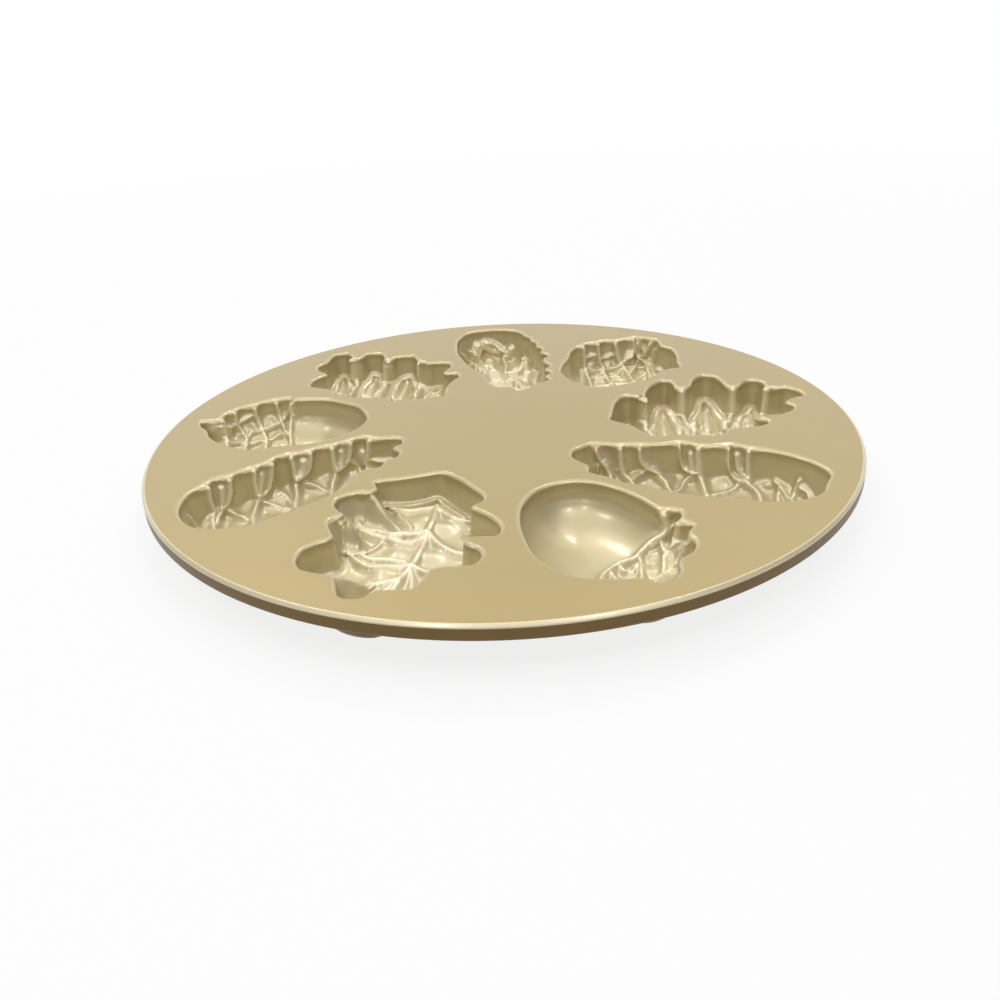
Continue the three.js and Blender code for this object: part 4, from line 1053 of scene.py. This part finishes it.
def rim_section():
    """The section of the rim from the deck's flat top, over the edge and back to the deck's underside."""
    chamfer = sizes().chamfer / MM
    rounding = sizes().edge_round / MM
    inner = RADIUS - sizes().rim_width / MM
    corners = [
        (deck_edge(), TOP), (RADIUS - chamfer, TOP), (RADIUS, TOP - chamfer), (RADIUS, RIM_UNDER),
        (inner, RIM_UNDER), (inner, DECK_UNDER), (inner - 1, DECK_UNDER),
    ]
    points = [corners[0], (RADIUS - chamfer - EDGE_FADE, TOP)]
    for i in range(1, len(corners) - 1):
        radius = RIM_ROUND if i in (3, 4) else rounding
        points += rounded_corner(corners[i - 1], corners[i], corners[i + 1], radius)
        if i == 2:
            points.append((RADIUS, TOP - chamfer - EDGE_FADE))
    return points[:-1] + [corners[-2]]


def build_rim():
    """The edge of the deck and the turned-down rim under it, one section spun round the pan."""
    bm = bmesh.new()
    points = [bm.verts.new((along, 0, height)) for along, height in rim_section()]
    edges = [bm.edges.new(pair) for pair in zip(points, points[1:])]
    bmesh.ops.spin(
        bm, geom=points + edges, cent=(0, 0, 0), axis=(0, 0, 1), dvec=(0, 0, 0), angle=2 * pi,
        steps=sizes().round_steps, use_merge=True)
    bmesh.ops.remove_doubles(bm, verts=bm.verts, dist=1e-4)
    edge = (sizes().chamfer + sizes().edge_round) / MM
    side = TOP - sizes().chamfer / MM - EDGE_FADE / 2
    painted_highlight_layer = bm.verts.layers.float.new("crest")
    # Painted highlight on the chamfered edge, stored in the crest layer
    for vertex in bm.verts:
        edge_highlight = vertex.co.xy.length > RADIUS - edge and vertex.co.z > TOP - edge
        vertex[painted_highlight_layer] = PAINTED_HIGHLIGHT_EDGE_SHARE if edge_highlight else 0
    # Below the chamfer the rim gets the painted shade material
    for face in bm.faces:
        face.material_index = 0 if face.calc_center_median().z > side else 1
    return add_piece("rim", bm, "rim_bead")


def add_node(tree, kind, settings=None, links=None):
    """Adds a node, sets its plain settings and sockets, and links its inputs."""
    node = tree.nodes.new(kind)
    for key, value in (settings or {}).items():
        if isinstance(key, int) or key in node.inputs:
            node.inputs[key].default_value = value
        else:
            setattr(node, key, value)
    for socket, source in (links or {}).items():
        tree.links.new(source, node.inputs[socket])
    return node


def coated_aluminium(name, tone, gloss):
    """Cast aluminium under a satin non-stick coat with gold-coloured pigment: a soft gloss, a fine even
    grain, painted light that turns the coat paler and greyer in the cavities, and a painted highlight along
    crests, lips and the pan's edge."""
    if name in bpy.data.materials:
        return bpy.data.materials[name]
    settings = finish_settings()
    material = bpy.data.materials.new(name)
    material.use_nodes = True
    tree = material.node_tree
    tree.nodes.clear()
    place = add_node(tree, "ShaderNodeTexCoord").outputs["Object"]
    height = add_node(tree, "ShaderNodeSeparateXYZ", {}, {"Vector": place}).outputs["Z"]
    # Painted light: from 0.5 to 5 mm below the deck the coat blends into the paler, greyer hollow colour
    painted_light_depth = add_node(
        tree, "ShaderNodeMapRange",
        {"From Min": (TOP - 0.5) * MM, "From Max": (TOP - 5) * MM}, {"Value": height})
    painted_light_hollow = settings.painted_light_hollow if tone == settings.coat else tone
    colour = mix_colours(tree, painted_light_depth.outputs["Result"], linear(tone), linear(painted_light_hollow))
    # The crest attribute mixes in the painted highlight
    crest = add_node(tree, "ShaderNodeAttribute", {"attribute_name": "crest"})
    colour = mix_colours(tree, crest.outputs["Fac"], colour, linear(settings.crest))
    grain = add_node(
        tree, "ShaderNodeTexNoise", {"Scale": 1 / settings.grit, "Detail": 2.0}, {"Vector": place})
    rough = add_node(
        tree, "ShaderNodeMapRange",
        {"From Min": 0.3, "From Max": 0.7,
         "To Min": settings.roughness - 0.03, "To Max": settings.roughness + 0.03},
        {"Value": grain.outputs["Fac"]})
    bump = add_node(
        tree, "ShaderNodeBump", {"Strength": 0.06, "Distance": 0.02 * MM}, {"Height": grain.outputs["Fac"]})
    shader = add_node(
        tree, "ShaderNodeBsdfPrincipled", {"Metallic": 0.4, "Coat Weight": gloss, "Coat Roughness": 0.16},
        {"Base Color": colour, "Roughness": rough.outputs["Result"], "Normal": bump.outputs["Normal"]})
    add_node(tree, "ShaderNodeOutputMaterial", {}, {"Surface": shader.outputs["BSDF"]})
    return material


def mix_colours(tree, share, first, second):
    """A mix of two colours, each a fixed colour or another node's output."""
    node = add_node(tree, "ShaderNodeMix", {"data_type": "RGBA"}, {0: share})
    for socket, colour in ((6, first), (7, second)):
        if isinstance(colour, list):
            node.inputs[socket].default_value = colour
        else:
            tree.links.new(colour, node.inputs[socket])
    return node.outputs[2]


def white_floor():
    """Matt white paper sweep."""
    material = bpy.data.materials.new("white_paper")
    material.use_nodes = True
    tree = material.node_tree
    tree.nodes.clear()
    rays = add_node(tree, "ShaderNodeLightPath")
    seen = add_node(
        tree, "ShaderNodeMath", {"operation": "MAXIMUM"},
        {0: rays.outputs["Is Camera Ray"], 1: rays.outputs["Is Glossy Ray"]})
    seen = add_node(
        tree, "ShaderNodeMath", {"operation": "MAXIMUM"},
        {0: seen.outputs[0], 1: rays.outputs["Is Transmission Ray"]})
    place = add_node(tree, "ShaderNodeTexCoord").outputs["Object"]
    away = add_node(tree, "ShaderNodeVectorMath", {"operation": "LENGTH"}, {0: place})
    white = add_node(
        tree, "ShaderNodeMapRange", {"From Min": 0.3, "From Max": 1.2, "To Min": 0.84, "To Max": 1.0},
        {"Value": away.outputs["Value"]})
    share = add_node(
        tree, "ShaderNodeMath", {"operation": "MULTIPLY"}, {0: seen.outputs[0], 1: white.outputs["Result"]})
    paper = add_node(tree, "ShaderNodeBsdfDiffuse", {"Color": linear("#F4F4F4")})
    glow = add_node(tree, "ShaderNodeEmission", {"Color": linear("#FFFFFF"), "Strength": 1.0})
    mixed = add_node(
        tree, "ShaderNodeMixShader", {}, {0: share.outputs[0], 1: paper.outputs[0], 2: glow.outputs[0]})
    add_node(tree, "ShaderNodeOutputMaterial", {}, {"Surface": mixed.outputs[0]})
    return material


def build_floor():
    """A paper sweep: a flat floor that curves up far behind the pan."""
    near, far, bend, width, height = 6, 2.5, 1.5, 8, 5
    profile = [(-near, 0), (far, 0)]
    for i in range(1, 13):
        angle = i / 12 * pi / 2
        profile.append((far + bend * sin(angle), bend * (1 - cos(angle))))
    profile.append((far + bend, height))
    bm = bmesh.new()
    points = [bm.verts.new((-width, along, up)) for along, up in profile]
    edges = [bm.edges.new(pair) for pair in zip(points, points[1:])]
    made = bmesh.ops.extrude_edge_only(bm, edges=edges)["geom"]
    bmesh.ops.translate(
        bm, vec=(2 * width, 0, 0), verts=[item for item in made if isinstance(item, bmesh.types.BMVert)])
    mesh = bpy.data.meshes.new("floor")
    bm.to_mesh(mesh)
    bm.free()
    mesh.polygons.foreach_set("use_smooth", [True] * len(mesh.polygons))
    mesh.materials.append(white_floor())
    floor = bpy.data.objects.new("floor", mesh)
    bpy.context.scene.collection.objects.link(floor)


def add_light(name, shape, size, place, target, power):
    """A soft flat light that faces a place."""
    light = bpy.data.lights.new(name, "AREA")
    light.shape = shape
    light.size, light.size_y = size
    light.energy = power
    lamp = bpy.data.objects.new(name, light)
    lamp.location = place
    lamp.rotation_euler = (Vector(target) - Vector(place)).to_track_quat("-Z", "Y").to_euler()
    bpy.context.scene.collection.objects.link(lamp)


def add_camera(stage):
    """The camera of the photograph: its place, direction and roll."""
    data = bpy.data.cameras.new("camera")
    data.lens = stage.lens
    data.sensor_width = 36
    data.clip_start = 0.01
    forward = Vector((
        sin(stage.heading) * cos(stage.look_down), cos(stage.heading) * cos(stage.look_down),
        -sin(stage.look_down)))
    right = forward.cross(Vector((0, 0, 1))).normalized()
    up = right.cross(forward)
    turned = Matrix((right, up, -forward)).transposed().to_4x4()
    camera = bpy.data.objects.new("camera", data)
    camera.matrix_world = (
        Matrix.Translation(Vector(stage.eye)) @ turned @ Matrix.Rotation(stage.roll, 4, "Z"))
    bpy.context.scene.collection.objects.link(camera)
    bpy.context.scene.camera = camera


class CAKELETPAN_OT_stage(bpy.types.Operator):
    """Adds the camera, the paper floor and the studio light"""
    bl_idname = "cakelet_pan.stage"
    bl_label = "Add the Stage"

    def execute(self, context):
        stage = context.scene.cakelet_pan_stage
        add_camera(stage)
        build_floor()
        world = bpy.data.worlds.new("studio")
        world.use_nodes = True
        world.node_tree.nodes["Background"].inputs["Color"].default_value = linear("#FFFFFF")
        world.node_tree.nodes["Background"].inputs["Strength"].default_value = stage.sky
        context.scene.world = world
        add_light("overhead", "RECTANGLE", *OVERHEAD, stage.overhead)
        add_light("front", "RECTANGLE", *FRONT_STRIP, stage.front)
        for i, place in enumerate(LAMP_PLACES):
            add_light(f"lamp_{i + 1}", "ELLIPSE", LAMP_SIZE, place, (0, 0, 0), stage.lamp)
        context.scene.view_settings.view_transform = "Standard"
        return {"FINISHED"}


class CAKELETPAN_OT_deck(bpy.types.Operator):
    """Builds the deck and the rim of the pan"""
    bl_idname = "cakelet_pan.deck"
    bl_label = "Build the Deck and Rim"

    def execute(self, context):
        build_deck()
        build_rim()
        return {"FINISHED"}


class CAKELETPAN_OT_wells(bpy.types.Operator):
    """Builds the nine sculpted wells"""
    bl_idname = "cakelet_pan.wells"
    bl_label = "Build the Wells"

    def execute(self, context):
        for well in WELLS:
            build_well(well)
        return {"FINISHED"}


class CAKELETPAN_PT_panel(bpy.types.Panel):
    """The pan's tools in the sidebar"""
    bl_idname = "CAKELETPAN_PT_panel"
    bl_label = "Cakelet Pan"
    bl_space_type = "VIEW_3D"
    bl_region_type = "UI"
    bl_category = "Cakelet Pan"

    def draw(self, context):
        for tool in TOOLS:
            self.layout.operator(tool.bl_idname)
        scene = context.scene
        for group in (scene.cakelet_pan_sizes, scene.cakelet_pan_finish, scene.cakelet_pan_stage):
            for name in group.__annotations__:
                self.layout.prop(group, name)


TOOLS = (CAKELETPAN_OT_stage, CAKELETPAN_OT_deck, CAKELETPAN_OT_wells)
CLASSES = (PanSizes, PanFinish, StageSettings, *TOOLS, CAKELETPAN_PT_panel)


def register():
    for cls in CLASSES:
        bpy.utils.register_class(cls)
    bpy.types.Scene.cakelet_pan_sizes = PointerProperty(type=PanSizes)
    bpy.types.Scene.cakelet_pan_finish = PointerProperty(type=PanFinish)
    bpy.types.Scene.cakelet_pan_stage = PointerProperty(type=StageSettings)


def unregister():
    del bpy.types.Scene.cakelet_pan_stage
    del bpy.types.Scene.cakelet_pan_finish
    del bpy.types.Scene.cakelet_pan_sizes
    for cls in reversed(CLASSES):
        bpy.utils.unregister_class(cls)


def main():
    register()
    bpy.ops.cakelet_pan.stage()
    bpy.ops.cakelet_pan.deck()
    bpy.ops.cakelet_pan.wells()


if __name__ == "__main__":
    main()
